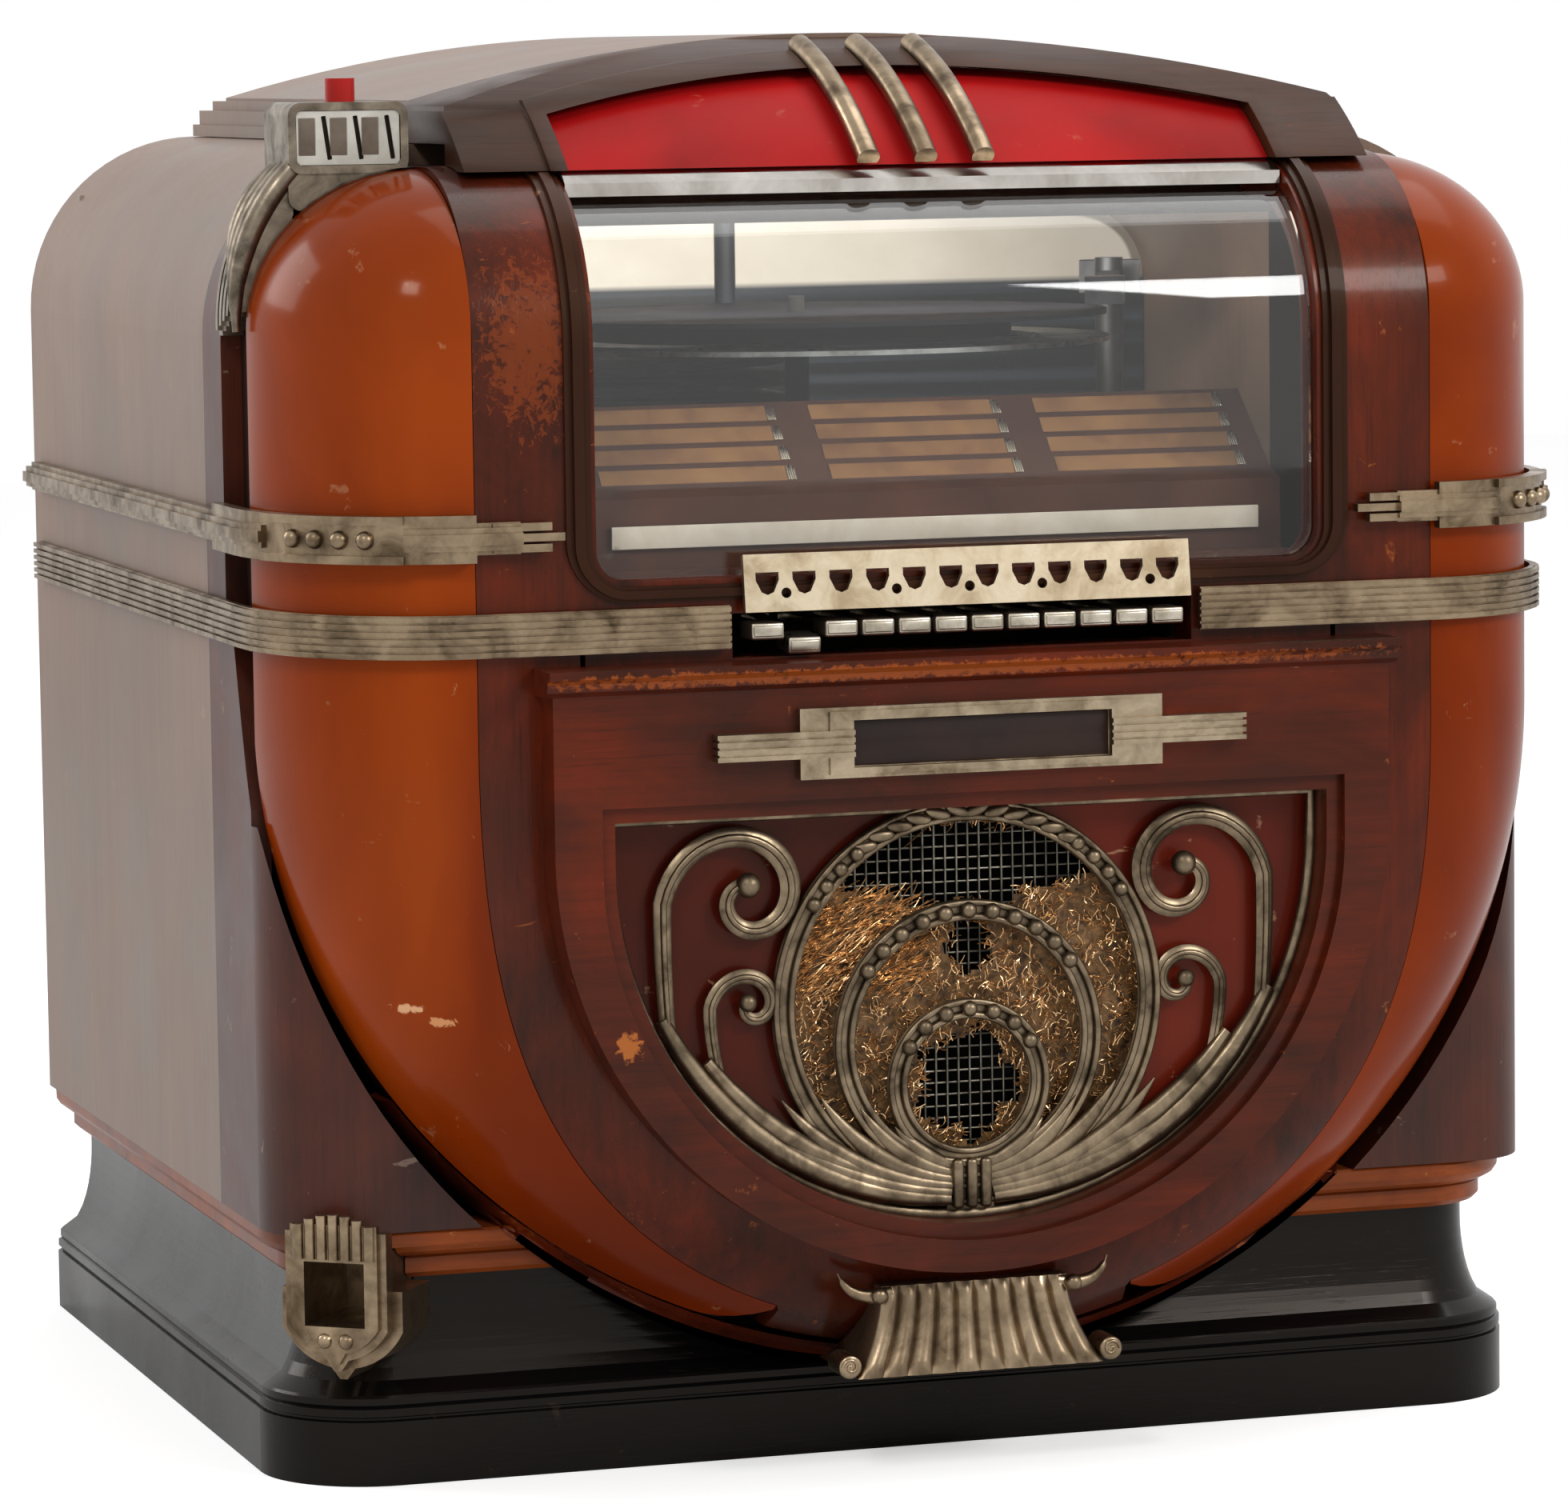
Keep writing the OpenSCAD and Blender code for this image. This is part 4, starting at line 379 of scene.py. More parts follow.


# Chips, scuffs, worn edges and painted highlights: slot, place, half size along each axis, shade, ragged,
# strength
marks = [
    ("amber_plastic", (-0.2165, -0.26, 0.1895), (0.0055, 0.05, 0.0018), "e8b488", 0.5, 0.8),
    ("amber_plastic", (-0.206, -0.26, 0.1845), (0.0045, 0.05, 0.0022), "d89a68", 0.5, 0.8),
    ("walnut_dark", (-0.141, -0.28, 0.175), (0.005, 0.03, 0.0055), "b0642c", 0.5, 0.8),
    # The worn ledge also carries a painted highlight along its lit top edge
    ("walnut_dark", (-0.02, -0.29, 0.3135), (0.22, 0.008, 0.0035), "a4501c", 0.35, 0.6),  # Worn ledge
    # Painted highlight on the left shoulder of the front, beside the window
    ("walnut", (-0.17, -0.25, 0.44), (0.02, 0.05, 0.03), "8a3c10", 0.6, 0.45),
    ("walnut", (-0.165, -0.27, 0.10), (0.03, 0.05, 0.012), "9a4a18", 0.6, 0.4),
]
for mark in marks:
    addMark(*mark)


def dress(piece, material):
    piece.data.materials.clear()
    piece.data.materials.append(material)


for part in frame["record"]["subparts"]:
    dress(nodes[part["node"]], finishes[part["material_slot"]])
dress(nodes["cabinet_shell"], shellMaterial("shellVeneer"))
dress(nodes["front_bulkhead"], finishes["recess"])


# Shapes that several pieces share

def clearSelection():
    if bpy.context.object and bpy.context.object.mode != "OBJECT":
        bpy.ops.object.mode_set(mode="OBJECT")
    bpy.ops.object.select_all(action="DESELECT")


def pick(piece):
    clearSelection()
    piece.select_set(True)
    bpy.context.view_layer.objects.active = piece


def addObject(name, data):
    piece = bpy.data.objects.new(name, data)
    bpy.context.collection.objects.link(piece)
    return piece


def joinPieces(pieces, name):
    clearSelection()
    for piece in pieces:
        piece.select_set(True)
    bpy.context.view_layer.objects.active = pieces[0]
    bpy.ops.object.join()
    bpy.context.object.name = name
    return bpy.context.object


def settlePlace(piece):
    pick(piece)
    bpy.ops.object.transform_apply(location=True, rotation=True, scale=True)


def settle(piece, finish, replaced=(), body="cabinet", smoothAngle=35):
    # Place goes into the mesh, and the piece is dressed and handed to its body
    settlePlace(piece)
    bpy.ops.object.shade_smooth_by_angle(angle=math.radians(smoothAngle))
    dress(piece, finishes[finish])
    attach(piece, body)
    for node in replaced:
        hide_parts(node)


def turnOutwards(piece, merge=0.02):
    pick(piece)
    bpy.ops.object.mode_set(mode="EDIT")
    bpy.ops.mesh.select_all(action="SELECT")
    if merge:
        bpy.ops.mesh.remove_doubles(threshold=merge * mm)
    bpy.ops.mesh.normals_make_consistent(inside=False)
    bpy.ops.object.mode_set(mode="OBJECT")


def applyModifier(piece, kind, **settings):
    pick(piece)
    modifier = piece.modifiers.new(kind.title(), kind)
    for label, value in settings.items():
        setattr(modifier, label, value)
    bpy.ops.object.modifier_apply(modifier=modifier.name)


def roundEdges(piece, width, segments=3, **more):
    applyModifier(piece, "BEVEL", width=width * mm, segments=segments, limit_method="ANGLE", **more)


def loftPiece(name, rings):
    # Skin through rings of points, closed at both ends
    count = len(rings[0])
    points = [[c * mm for c in point] for ring in rings for point in ring]
    faces = [(i + j, i + (j + 1) % count, i + (j + 1) % count + count, i + j + count)
             for i in range(0, (len(rings) - 1) * count, count) for j in range(count)]
    faces += [tuple(range(count)), tuple(range((len(rings) - 1) * count, len(rings) * count))]
    mesh = bpy.data.meshes.new(name)
    mesh.from_pydata(points, [], faces)
    piece = addObject(name, mesh)
    turnOutwards(piece)
    return piece


def barPieces(name, lines, thick, radii=None, closed=False, sides=3, caps=True):
    # Round bars along lines of points, thinner where the radii say so
    curve = bpy.data.curves.new(name, "CURVE")
    curve.dimensions = "3D"
    curve.bevel_depth = thick * mm
    curve.bevel_resolution = sides
    curve.use_fill_caps = caps
    for line in lines:
        spline = curve.splines.new("POLY")
        spline.points.add(len(line) - 1)
        spline.use_cyclic_u = closed
        for i, (x, y, z) in enumerate(line):
            spline.points[i].co = (x * mm, y * mm, z * mm, 1)
            spline.points[i].radius = radii[i] if radii else 1.0
    pick(addObject(name, curve))
    bpy.ops.object.convert(target="MESH")
    return bpy.context.object


def linePiece(name, line, thick, radii=None, flat=1.0, **more):
    # One bar, pressed flat from front to back
    piece = barPieces(name, [line], thick, radii, **more)
    if flat != 1.0:
        middle = sum(point[1] for point in line) / len(line) * mm
        for vertex in piece.data.vertices:
            vertex.co.y = middle + (vertex.co.y - middle) * flat
    return piece


def addBall(place, radius):
    clearSelection()
    bpy.ops.mesh.primitive_uv_sphere_add(segments=18, ring_count=10, radius=radius * mm,
                                         location=[c * mm for c in place])
    return bpy.context.object


def addRod(start, end, radius, vertices=20):
    start, end = Vector(start) * mm, Vector(end) * mm
    clearSelection()
    bpy.ops.mesh.primitive_cylinder_add(vertices=vertices, radius=radius * mm, depth=(end - start).length,
                                        location=(start + end) / 2)
    rod = bpy.context.object
    rod.rotation_euler = (end - start).to_track_quat("Z", "Y").to_euler()
    return rod


def addBlock(low, high, bevel, name="block"):
    # A block between two corners with its edges rounded over
    clearSelection()
    bpy.ops.mesh.primitive_cube_add(size=1, location=[(a + b) / 2 * mm for a, b in zip(low, high)])
    block = bpy.context.object
    block.name = name
    block.scale = [(b - a) * mm for a, b in zip(low, high)]
    bpy.ops.object.transform_apply(location=False, rotation=False, scale=True)
    if bevel:
        roundEdges(block, bevel)
    return block


def mirrorPiece(piece):
    for vertex in piece.data.vertices:
        vertex.co.x = -vertex.co.x
    piece.data.flip_normals()


def shares(count):
    return [k / count for k in range(count + 1)]


def quadratic(start, middle, end, count):
    return [[(1 - t) ** 2 * a + 2 * t * (1 - t) * b + t * t * c for a, b, c in zip(start, middle, end)]
            for t in shares(count)]


def sind(a):
    return math.sin(math.radians(a))


def cosd(a):
    return math.cos(math.radians(a))


# Plastic columns: bowed in plan, round at the top, and drawn in under the front in one curve

columns = {
    "frontHalf": 193, "width": 67, "bow": 81, "flank": -185, "seam": 0.3, "wall": 4, "thinnest": 0.8,
    "domeLow": 445, "domeHigh": 60, "domeStep": 2.2, "domeRings": 41, "joint": 331,
    "turnLow": 287, "drop": 256, "draw": 13, "taper": 3.2,
    "tail": 23, "tailAngle": 72, "tailDraw": 10, "tailBlend": 6, "around": 30, "along": 56, "upright": 6,
}
pathHalf = columns["frontHalf"] + columns["width"]
uprightHeight = columns["joint"] - columns["seam"] - columns["turnLow"]


def upperColumn(name):
    shape = columns
    wide, inner = shape["width"] - shape["seam"], shape["frontHalf"] + shape["seam"]
    heights = [(0, shape["joint"] + shape["seam"])]
    heights += [(f, shape["domeLow"] + shape["domeHigh"] * sind(f))
                for f in [shape["domeStep"] * k for k in range(shape["domeRings"])]]
    rings = []
    for f, z in heights:
        edge = [(inner + wide * cosd(f) * cosd(a), shape["flank"] - shape["bow"] * cosd(f) * sind(a), z)
                for a in [90 * t for t in shares(shape["around"])]]
        rings.append(edge + [(inner, shape["flank"], z)])
    return loftPiece(name, rings)


def spot(f, u, y):
    # A point of the lower front: f runs down the side and in under it, u runs in from the rim
    x, z = pathHalf * cosd(f), columns["turnLow"] - columns["drop"] * sind(f)
    across = Vector((cosd(f) / pathHalf, sind(f) / columns["drop"])).normalized()
    return (x - u * across.x, y, z + u * across.y)


def bowY(u):
    share = max(0, 1 - u / columns["width"])
    return columns["flank"] - columns["bow"] * math.sqrt(max(0, 1 - share ** 2))


def bowAngle(u):
    return math.degrees(math.acos(max(0, min(1, 1 - u / columns["width"]))))


def outerU(f):
    past = max(0, f - columns["tailAngle"] + columns["tailBlend"]) / columns["tailBlend"]
    return columns["draw"] * sind(f) ** 2 + columns["tailDraw"] * past ** 2


def innerU(f):
    return columns["tail"] + (columns["width"] - columns["tail"]) * max(0, cosd(f)) ** columns["taper"]


def onSection(f, angle, inset):
    return spot(f, columns["width"] - (columns["width"] - inset) * cosd(angle),
                columns["flank"] - (columns["bow"] - inset) * sind(angle))


def plasticRing(f, low, high):
    first, last = bowAngle(low), bowAngle(high)
    angles = [first + (last - first) * t for t in shares(columns["around"])]
    return [onSection(f, a, 0) for a in angles] + [onSection(f, a, columns["wall"]) for a in reversed(angles)]


def lowerColumn(name):
    shape, count = columns, columns["upright"]
    top = plasticRing(0, 0, shape["width"] - shape["seam"])
    rings = [[(x, y, z + uprightHeight * (1 - k / count)) for x, y, z in top] for k in range(count)]
    for f in [shape["tailAngle"] * t for t in shares(shape["along"])]:
        rings.append(plasticRing(f, outerU(f), max(outerU(f) + shape["thinnest"], innerU(f) - shape["seam"])))
    return loftPiece(name, rings)


for side in ("right", "left"):
    for level, build in (("upper", upperColumn), ("lower", lowerColumn)):
        column = build(level + "Column" + side.title())
        if side == "left":
            mirrorPiece(column)
        settle(column, "amber_plastic", ["pilaster_" + level + "_" + side])
print("plastic columns")


# Wood that carries the lower columns, one section run round the same curve

surround = {
    "step": 1.5, "inside": 107, "insideDraw": 47, "faceSteps": 16, "lipSteps": 6,
    "hemLeast": 2, "hemGap": 1, "tailLip": 22, "tailHem": 13.5, "tailGap": 0.5,
    "rimFrom": 32, "rimTurn": 60, "rimEdge": 0.8, "rimTrim": 0.6, "rimGrow": 2.4, "rimSteps": 6,
    "floorFace": -214.8, "floorTop": 98.5,
}
woodBack = columns["flank"] - columns["seam"]


def woodRing(f):
    shape = surround
    onTail = f <= columns["tailAngle"]
    lip = innerU(f) if onTail else shape["tailLip"]
    hem = max(outerU(f), shape["hemLeast"]) + shape["hemGap"] if onTail else shape["tailHem"]
    under = columns["wall"] + columns["seam"] if onTail else columns["seam"]
    inside = shape["inside"] - shape["insideDraw"] * sind(f) ** 2
    first, last = bowAngle(hem), bowAngle(lip)
    ring = [spot(f, inside, woodBack)]
    for u in [inside + (lip - inside) * (1 - (1 - t) ** 2) for t in shares(shape["faceSteps"])]:
        ring.append(spot(f, u, bowY(u)))
    ring += [onSection(f, last - (last - first) * t, under) for t in shares(shape["lipSteps"])]
    return ring + [spot(f, hem + under, woodBack)]


def rimRing(f):
    shape = surround
    past = max(0, sind(f) - sind(shape["rimTurn"])) / (1 - sind(shape["rimTurn"]))
    width = outerU(min(f, shape["rimTurn"])) - shape["rimTrim"] + shape["rimGrow"] * past
    edge = [shape["rimEdge"] + (width - shape["rimEdge"]) * t for t in shares(shape["rimSteps"])]
    ring = [spot(f, shape["rimEdge"], woodBack), spot(f, width, woodBack)]
    return ring + [spot(f, u, bowY(u)) for u in reversed(edge)]


def clearOfFloor(point):
    x, y, z = point
    return (x, min(y, surround["floorFace"]) if z < surround["floorTop"] else y, z)


def mirroredLoft(name, rings):
    rings = rings + [[(-x, y, z) for x, y, z in ring] for ring in reversed(rings[:-1])]
    return loftPiece(name, [[clearOfFloor(point) for point in ring] for ring in rings])


def makeSurround():
    angles = [surround["step"] * k for k in range(int(90 / surround["step"]) + 1)]
    angles = sorted(angles + [columns["tailAngle"] + surround["tailGap"]])
    top = [(x, y, z + uprightHeight) for x, y, z in woodRing(0)]
    band = mirroredLoft("lowerWoodBand", [top] + [woodRing(f) for f in angles])
    rim = mirroredLoft("lowerRim", [rimRing(f) for f in angles if f >= surround["rimFrom"]])
    return joinPieces([band, rim], "lowerWoodBand")


settle(makeSurround(), "walnut", ["lower_surround"], smoothAngle=40)
print("lower wood")


# Loudspeaker casting: rim, three channelled rings, scrolls, leaves and stubs

casting = {
    "front": -266, "half": 144, "middle": 243, "low": 99, "top": 260,
    "rings": [(84, 78.3, 7.3), (69.5, 53.6, 6.7), (52.5, 32.2, 6.4)],  # Height, radius and width
    "band": {"over": 0.6, "forward": 2.3, "flat": 0.5},
    "bead": {"inset": 0.6, "thick": 1.35, "forward": -0.4, "flat": 1.0},
    "rim": {"inset": 1.2, "forward": 1, "thick": 2.6, "flat": 0.8, "step": 4},
    # Middle, radius, shrinking a quarter turn, turn, foot, thickness and how far back
    "scrolls": [(88.5, 227, 34, 0.7, 450, (121, 177), 4.3, 0), (87, 186, 17, 0.66, 396, (98, 150), 3.1, 0.5)],
    "scroll": {"out": 0.5, "up": 3, "steps": 8, "turnStep": 9, "flat": 0.6, "foot": 0.75, "grow": 2.6,
               "thin": 0.756, "thinFrom": 0.45, "ridgeForward": 0.5, "ridge": 0.36,
               "eyeForward": 1.6, "eye": 1.15},
    # Each leaf starts nearer the middle, higher and further back than the one before
    "leaf": {"from": (9, -2.1, 8), "next": (-0.5, 0.4, 2.5), "bend": (0.66, 1, 4), "out": 0.6, "back": 0.8,
             "steps": 14, "thick": 3.3, "thinner": 0.15, "flat": 0.75,
             "foot": 0.7, "swell": 2.6, "point": 0.6, "least": 0.1},
    "tips": [(112, 166), (92, 150), (76, 149), (60, 149), (44, 144), (30, 136)],
    # Inset from the rim, first and last angle, forward, thickness, least and greatest share of it
    "rimLeaves": [(6.6, -86, -20, 1.2, 2.8, 0.6, 1.2), (13.0, -84, -30, 1.6, 2.6, 0.5, 1.1)],
    "laurel": {"radius": 74.6, "forward": 1.4, "pearls": 4, "pearlFrom": 37, "pearlPitch": 6.6, "pearl": 3.0,
               "leaves": 6, "leafFrom": 3, "leafPitch": 6.2, "leaf": (5.4, 1.7, 2.3), "lean": 24},
    "pearlRows": [(1, 11, 11, 3.3), (2, 7, 19.4, 3.2)], "pearlForward": 1.6,  # Ring, count, pitch, size
    "stub": {"pitch": 5.7, "half": 2.2, "forward": 4.2, "back": 4, "low": 4, "high": 23.5, "round": 1.6},
    "seat": {"half": 10, "forward": 0.6, "low": 3, "high": 22, "round": 0.8},
}


def castingRim():
    rim = casting["rim"]
    half, y = casting["half"] - rim["inset"], casting["front"] + rim["forward"]
    line = [(-half, y, casting["top"] - rim["inset"])]
    line += [(half * cosd(a), y, casting["middle"] + half * sind(a)) for a in range(180, 361, rim["step"])]
    line.append((half, y, casting["top"] - rim["inset"]))
    return linePiece("castingRim", line, rim["thick"], closed=True, flat=rim["flat"])


def ringPart(height, radius, thick, look):
    clearSelection()
    bpy.ops.mesh.primitive_torus_add(major_segments=96, minor_segments=12, location=(0, 0, 0),
                                     major_radius=radius * mm, minor_radius=thick * mm)
    part = bpy.context.object
    part.scale = (1, 1, look["flat"])
    bpy.ops.object.transform_apply(location=False, rotation=False, scale=True)
    part.rotation_euler = (math.radians(90), 0, 0)
    part.location = (0, (casting["front"] + look["forward"]) * mm, (casting["low"] + height) * mm)
    settlePlace(part)
    return part


def ringChannel(height, radius, width):
    # A flat band with a raised bead along each edge
    band, bead = casting["band"], casting["bead"]
    return [ringPart(height, radius - width / 2, width / 2 + band["over"], band),
            ringPart(height, radius - bead["inset"], bead["thick"], bead),
            ringPart(height, radius - width + bead["inset"], bead["thick"], bead)]


def scrollBar(x, z, radius, quarter, turn, foot, thick, back):
    look, y = casting["scroll"], casting["front"] + back
    middle = (x + radius + look["out"], y, (foot[1] + z) / 2 + look["up"])
    line = quadratic((foot[0], y, foot[1]), middle, (x + radius, y, z), look["steps"])[:-1]
    for a in range(0, turn + 1, look["turnStep"]):
        reach = radius * quarter ** (a / 90)
        line.append((x + reach * cosd(a), y, z + reach * sind(a)))
    # Thinner at its foot, and again along the last half of the spiral
    radii = [look["foot"] + (1 - look["foot"]) * sind(90 * min(1, look["grow"] * t))
             - look["thin"] * max(0, t - look["thinFrom"]) for t in shares(len(line) - 1)]
    ridge = [(px, py - thick * look["ridgeForward"], pz) for px, py, pz in line]
    return [linePiece("scroll", line, thick, radii, flat=look["flat"]),
            linePiece("scrollRidge", ridge, thick * look["ridge"], radii),
            addBall((line[-1][0], y - look["eyeForward"], line[-1][2]), thick * look["eye"])]


def leafBar(k, tip):
    look = casting["leaf"]
    x, y, z = [start + change * k for start, change in zip(look["from"], look["next"])]
    y, z = casting["front"] + y, casting["low"] + z
    share, aside, up = look["bend"]
    middle = (tip[0] * share + aside, y - look["out"], z + up)
    line = quadratic((x, y, z), middle, (tip[0], y + look["back"], tip[1]), look["steps"])
    radii = [max(look["least"], look["foot"] + look["swell"] * t * (1 - t) - look["point"] * t ** 5)
             for t in shares(look["steps"])]
    return linePiece("leaf", line, look["thick"] - look["thinner"] * k, radii, flat=look["flat"])


def rimLeaf(inset, first, last, forward, thick, least, most):
    reach = casting["half"] - inset
    line = [(reach * cosd(a), casting["front"] - forward, casting["middle"] + reach * sind(a))
            for a in range(first, last, 6)]
    radii = [least + most * math.sin(math.pi * k / len(line)) for k in range(len(line))]
    return linePiece("leaf", line, thick, radii, flat=0.8)


def laurelParts():
    # Pearls, and small leaves that lie over each other, along the top of the large ring
    row = casting["laurel"]
    y, middle = casting["front"] - row["forward"], casting["low"] + casting["rings"][0][0]
    parts = []
    for a in [row["pearlFrom"] + row["pearlPitch"] * k for k in range(row["pearls"])]:
        parts.append(addBall((row["radius"] * sind(a), y, middle + row["radius"] * cosd(a)), row["pearl"]))
    for a in [row["leafFrom"] + row["leafPitch"] * k for k in range(row["leaves"])]:
        leaf = addBall((row["radius"] * sind(a), y, middle + row["radius"] * cosd(a)), 1)
        leaf.scale = row["leaf"]
        leaf.rotation_euler = (0, math.radians(a - row["lean"]), 0)
        settlePlace(leaf)
        parts.append(leaf)
    return parts


def makeCasting():
    front, low = casting["front"], casting["low"]
    parts = [part for scroll in casting["scrolls"] for part in scrollBar(*scroll)]
    parts += [rimLeaf(*leaf) for leaf in casting["rimLeaves"]]
    parts += [leafBar(k, tip) for k, tip in enumerate(casting["tips"])]
    half = joinPieces(parts + laurelParts(), "castingHalf")
    otherHalf = addObject("castingOtherHalf", half.data.copy())
    mirrorPiece(otherHalf)
    parts = [half, otherHalf, castingRim()]
    for ring in casting["rings"]:
        parts += ringChannel(*ring)
    for ring, count, pitch, size in casting["pearlRows"]:
        height, radius, width = casting["rings"][ring]
        for a in [(k - (count - 1) / 2) * pitch for k in range(count)]:
            reach = radius - width / 2
            parts.append(addBall((reach * sind(a), front - casting["pearlForward"],
                                  low + height + reach * cosd(a)), size))
    stub, seat = casting["stub"], casting["seat"]
    for x in (-stub["pitch"], 0, stub["pitch"]):
        parts.append(addBlock((x - stub["half"], front - stub["forward"], low + stub["low"]),
                              (x + stub["half"], front + stub["back"], low + stub["high"]), stub["round"]))
    parts.append(addBlock((-seat["half"], front - seat["forward"], low + seat["low"]),
                          (seat["half"], front + stub["back"], low + seat["high"]), seat["round"]))
    return joinPieces(parts, "grilleCasting")


settle(makeCasting(), "grille_metal", ["grille_casting"], smoothAngle=50)
print("grille casting")


# Wire mesh behind the cloth

mesh = {"y": -253.2, "pitch": 4.6, "half": 78, "low": 104, "high": 258, "wire": 0.42, "behind": 0.8}


def makeMesh():
    y, half, low, high, pitch = [mesh[label] for label in ("y", "half", "low", "high", "pitch")]
    wires = []
    for x in [-half + k * pitch for k in range(int(2 * half / pitch) + 1)]:
        wires.append(addRod((x, y, low), (x, y, high), mesh["wire"], 8))
    for z in [low + k * pitch for k in range(int((high - low) / pitch) + 1)]:
        wires.append(addRod((-half, y + mesh["behind"], z), (half, y + mesh["behind"], z), mesh["wire"], 8))
    return joinPieces(wires, "wireMesh")


settle(makeMesh(), "mesh_wire", ["grille_mesh"])
print("wire mesh")


# Tinsel cloth: a dark sheet worn through in places, under bright loose fibres

cloth = {
    "y": -256.6, "radius": 77, "middle": 183, "cell": 2.2, "thick": 0.6, "seed": 5,
    "ripple": 1.1, "wave": 0.8, "waveLengths": (6, 7),
    "holes": [(0, 236, 58, 17), (2, 150, 21, 21), (4, 204, 9, 11)],  # Middle and half sizes
    "fibres": 3200, "fibreThick": 0.22, "overhang": 2.5, "proud": 1.2, "spread": 1.6, "length": (2, 6),
    "curl": 0.9,
    "tuft": {"right": -15, "low": 188, "turn": 0.5, "stray": 0.25, "length": (8, 20)},
}


def inHole(x, z, grow):
    for middleX, middleZ, wide, high in cloth["holes"]:
        a = math.atan2(z - middleZ, x - middleX)
        ragged = 1 + 0.10 * math.sin(5 * a + middleX) + 0.07 * math.sin(11 * a + middleZ)
        if math.hypot((x - middleX) / (wide * ragged + grow), (z - middleZ) / (high * ragged + grow)) < 1:
            return True
    return False


def makeSheet():
    step, middle = cloth["cell"], cloth["middle"]
    count = int(2 * cloth["radius"] / step)
    wide, high = cloth["waveLengths"]
    points, faces, index = [], [], {}

    def corner(i, j):
        if (i, j) not in index:
            x, z = (i - count / 2) * step, middle + (j - count / 2) * step
            wave = cloth["wave"] * math.sin(x / wide) * math.cos(z / high)
            y = cloth["y"] + cloth["ripple"] * (random.random() - 0.5) * 2 + wave
            index[(i, j)] = len(points)
            points.append((x * mm, y * mm, z * mm))
        return index[(i, j)]

    for i in range(count):
        for j in range(count):
            x, z = (i + 0.5 - count / 2) * step, middle + (j + 0.5 - count / 2) * step
            if math.hypot(x, z - middle) <= cloth["radius"] and not inHole(x, z, 0):
                faces.append((corner(i, j), corner(i + 1, j), corner(i + 1, j + 1), corner(i, j + 1)))
    data = bpy.data.meshes.new("tinselCloth")
    data.from_pydata(points, [], faces)
    sheet = addObject("tinselCloth", data)
    turnOutwards(sheet, 0)
    applyModifier(sheet, "SOLIDIFY", thickness=cloth["thick"] * mm)
    return sheet


def makeFibres():
    tuft, lines = cloth["tuft"], []
    while len(lines) < cloth["fibres"]:
        a, r = random.uniform(0, 2 * math.pi), cloth["radius"] * math.sqrt(random.random())
        x, z = r * math.cos(a), cloth["middle"] + r * math.sin(a)
        if inHole(x, z, -cloth["overhang"]):
            continue
        turn = random.uniform(0, math.pi)
        reach = random.uniform(*cloth["length"])
        if x < tuft["right"] and z > tuft["low"]:
            # The brushed-out tuft at the upper left
            turn, reach = random.gauss(tuft["turn"], tuft["stray"]), random.uniform(*tuft["length"])
        curl = random.uniform(-cloth["curl"], cloth["curl"])
        line = []
        for t in [share - 0.5 for share in shares(3)]:
            along, aside = reach * t, curl * (1 - 4 * t * t)
            line.append((x + along * math.cos(turn) - aside * math.sin(turn),
                         cloth["y"] - cloth["proud"] - random.uniform(0, cloth["spread"]),
                         z + along * math.sin(turn) + aside * math.cos(turn)))
        lines.append(line)
    return barPieces("tinselFibres", lines, cloth["fibreThick"], sides=0, caps=False)


random.seed(cloth["seed"])
clothSheet, clothFibres = makeSheet(), makeFibres()
settle(clothSheet, "gold_cloth", ["grille_cloth"], smoothAngle=60)
settle(clothFibres, "gold_fibre", smoothAngle=60)
print("tinsel cloth")


# Fluted foot that flares out over the wood, with a volute and an ear at each side

foot = {
    "flutes": 10, "depth": 2.8, "head": 38, "half": 50,
    "headZ": 75, "footZ": 41, "headY": -272, "footY": -279.5,
    "steps": 18, "fine": 10, "flare": 1.9, "lean": 1.7, "groove": 0.8,
    "endDepth": 0.35, "endRun": 6, "endSet": 2.5, "thick": 8, "wood": 31, "woodGap": 0.4,
    "volute": {"out": 3.2, "up": 5, "radius": 4.6, "front": 1.5, "back": -262, "round": 1.2,
               "coil": 3.4, "coilFront": 1.4, "turn": 540, "coilTurn": 500, "turnStep": 20, "wire": 0.7,
               "sides": 32},
    # Out from the head, back and up
    "ear": [(-4, 3, -3), (13, 1.5, -6), (17, 4, 6)], "button": (1.5, -0.5, -3), "buttonSize": 3.4,
    "earThick": 3.6, "earFlat": 0.8, "earSteps": 12, "earThinner": 0.06, "earPoint": [0.12, 0.12],
}


def makeFlutes():
    across, rings = foot["flutes"] * foot["fine"], []
    for t in shares(foot["steps"]):
        half = foot["head"] + (foot["half"] - foot["head"]) * t ** foot["flare"]
        y = foot["headY"] + (foot["footY"] - foot["headY"]) * t ** foot["lean"]
        z = foot["headZ"] + (foot["footZ"] - foot["headZ"]) * t
        ends = min(1, foot["endDepth"] + foot["endRun"] * min(t, 1 - t))
        ring = []
        for s in shares(across):
            groove = foot["depth"] * (1 - abs(math.sin(math.pi * foot["flutes"] * s)) ** foot["groove"])
            ring.append((half * (2 * s - 1), y + groove * ends + foot["endSet"] * (1 - ends), z))
        back = max(bowY(max(0, z - foot["wood"])) - foot["woodGap"], y + foot["thick"])
        rings.append(ring + [(half, back, z), (-half, back, z)])
    return loftPiece("footFlutes", rings)


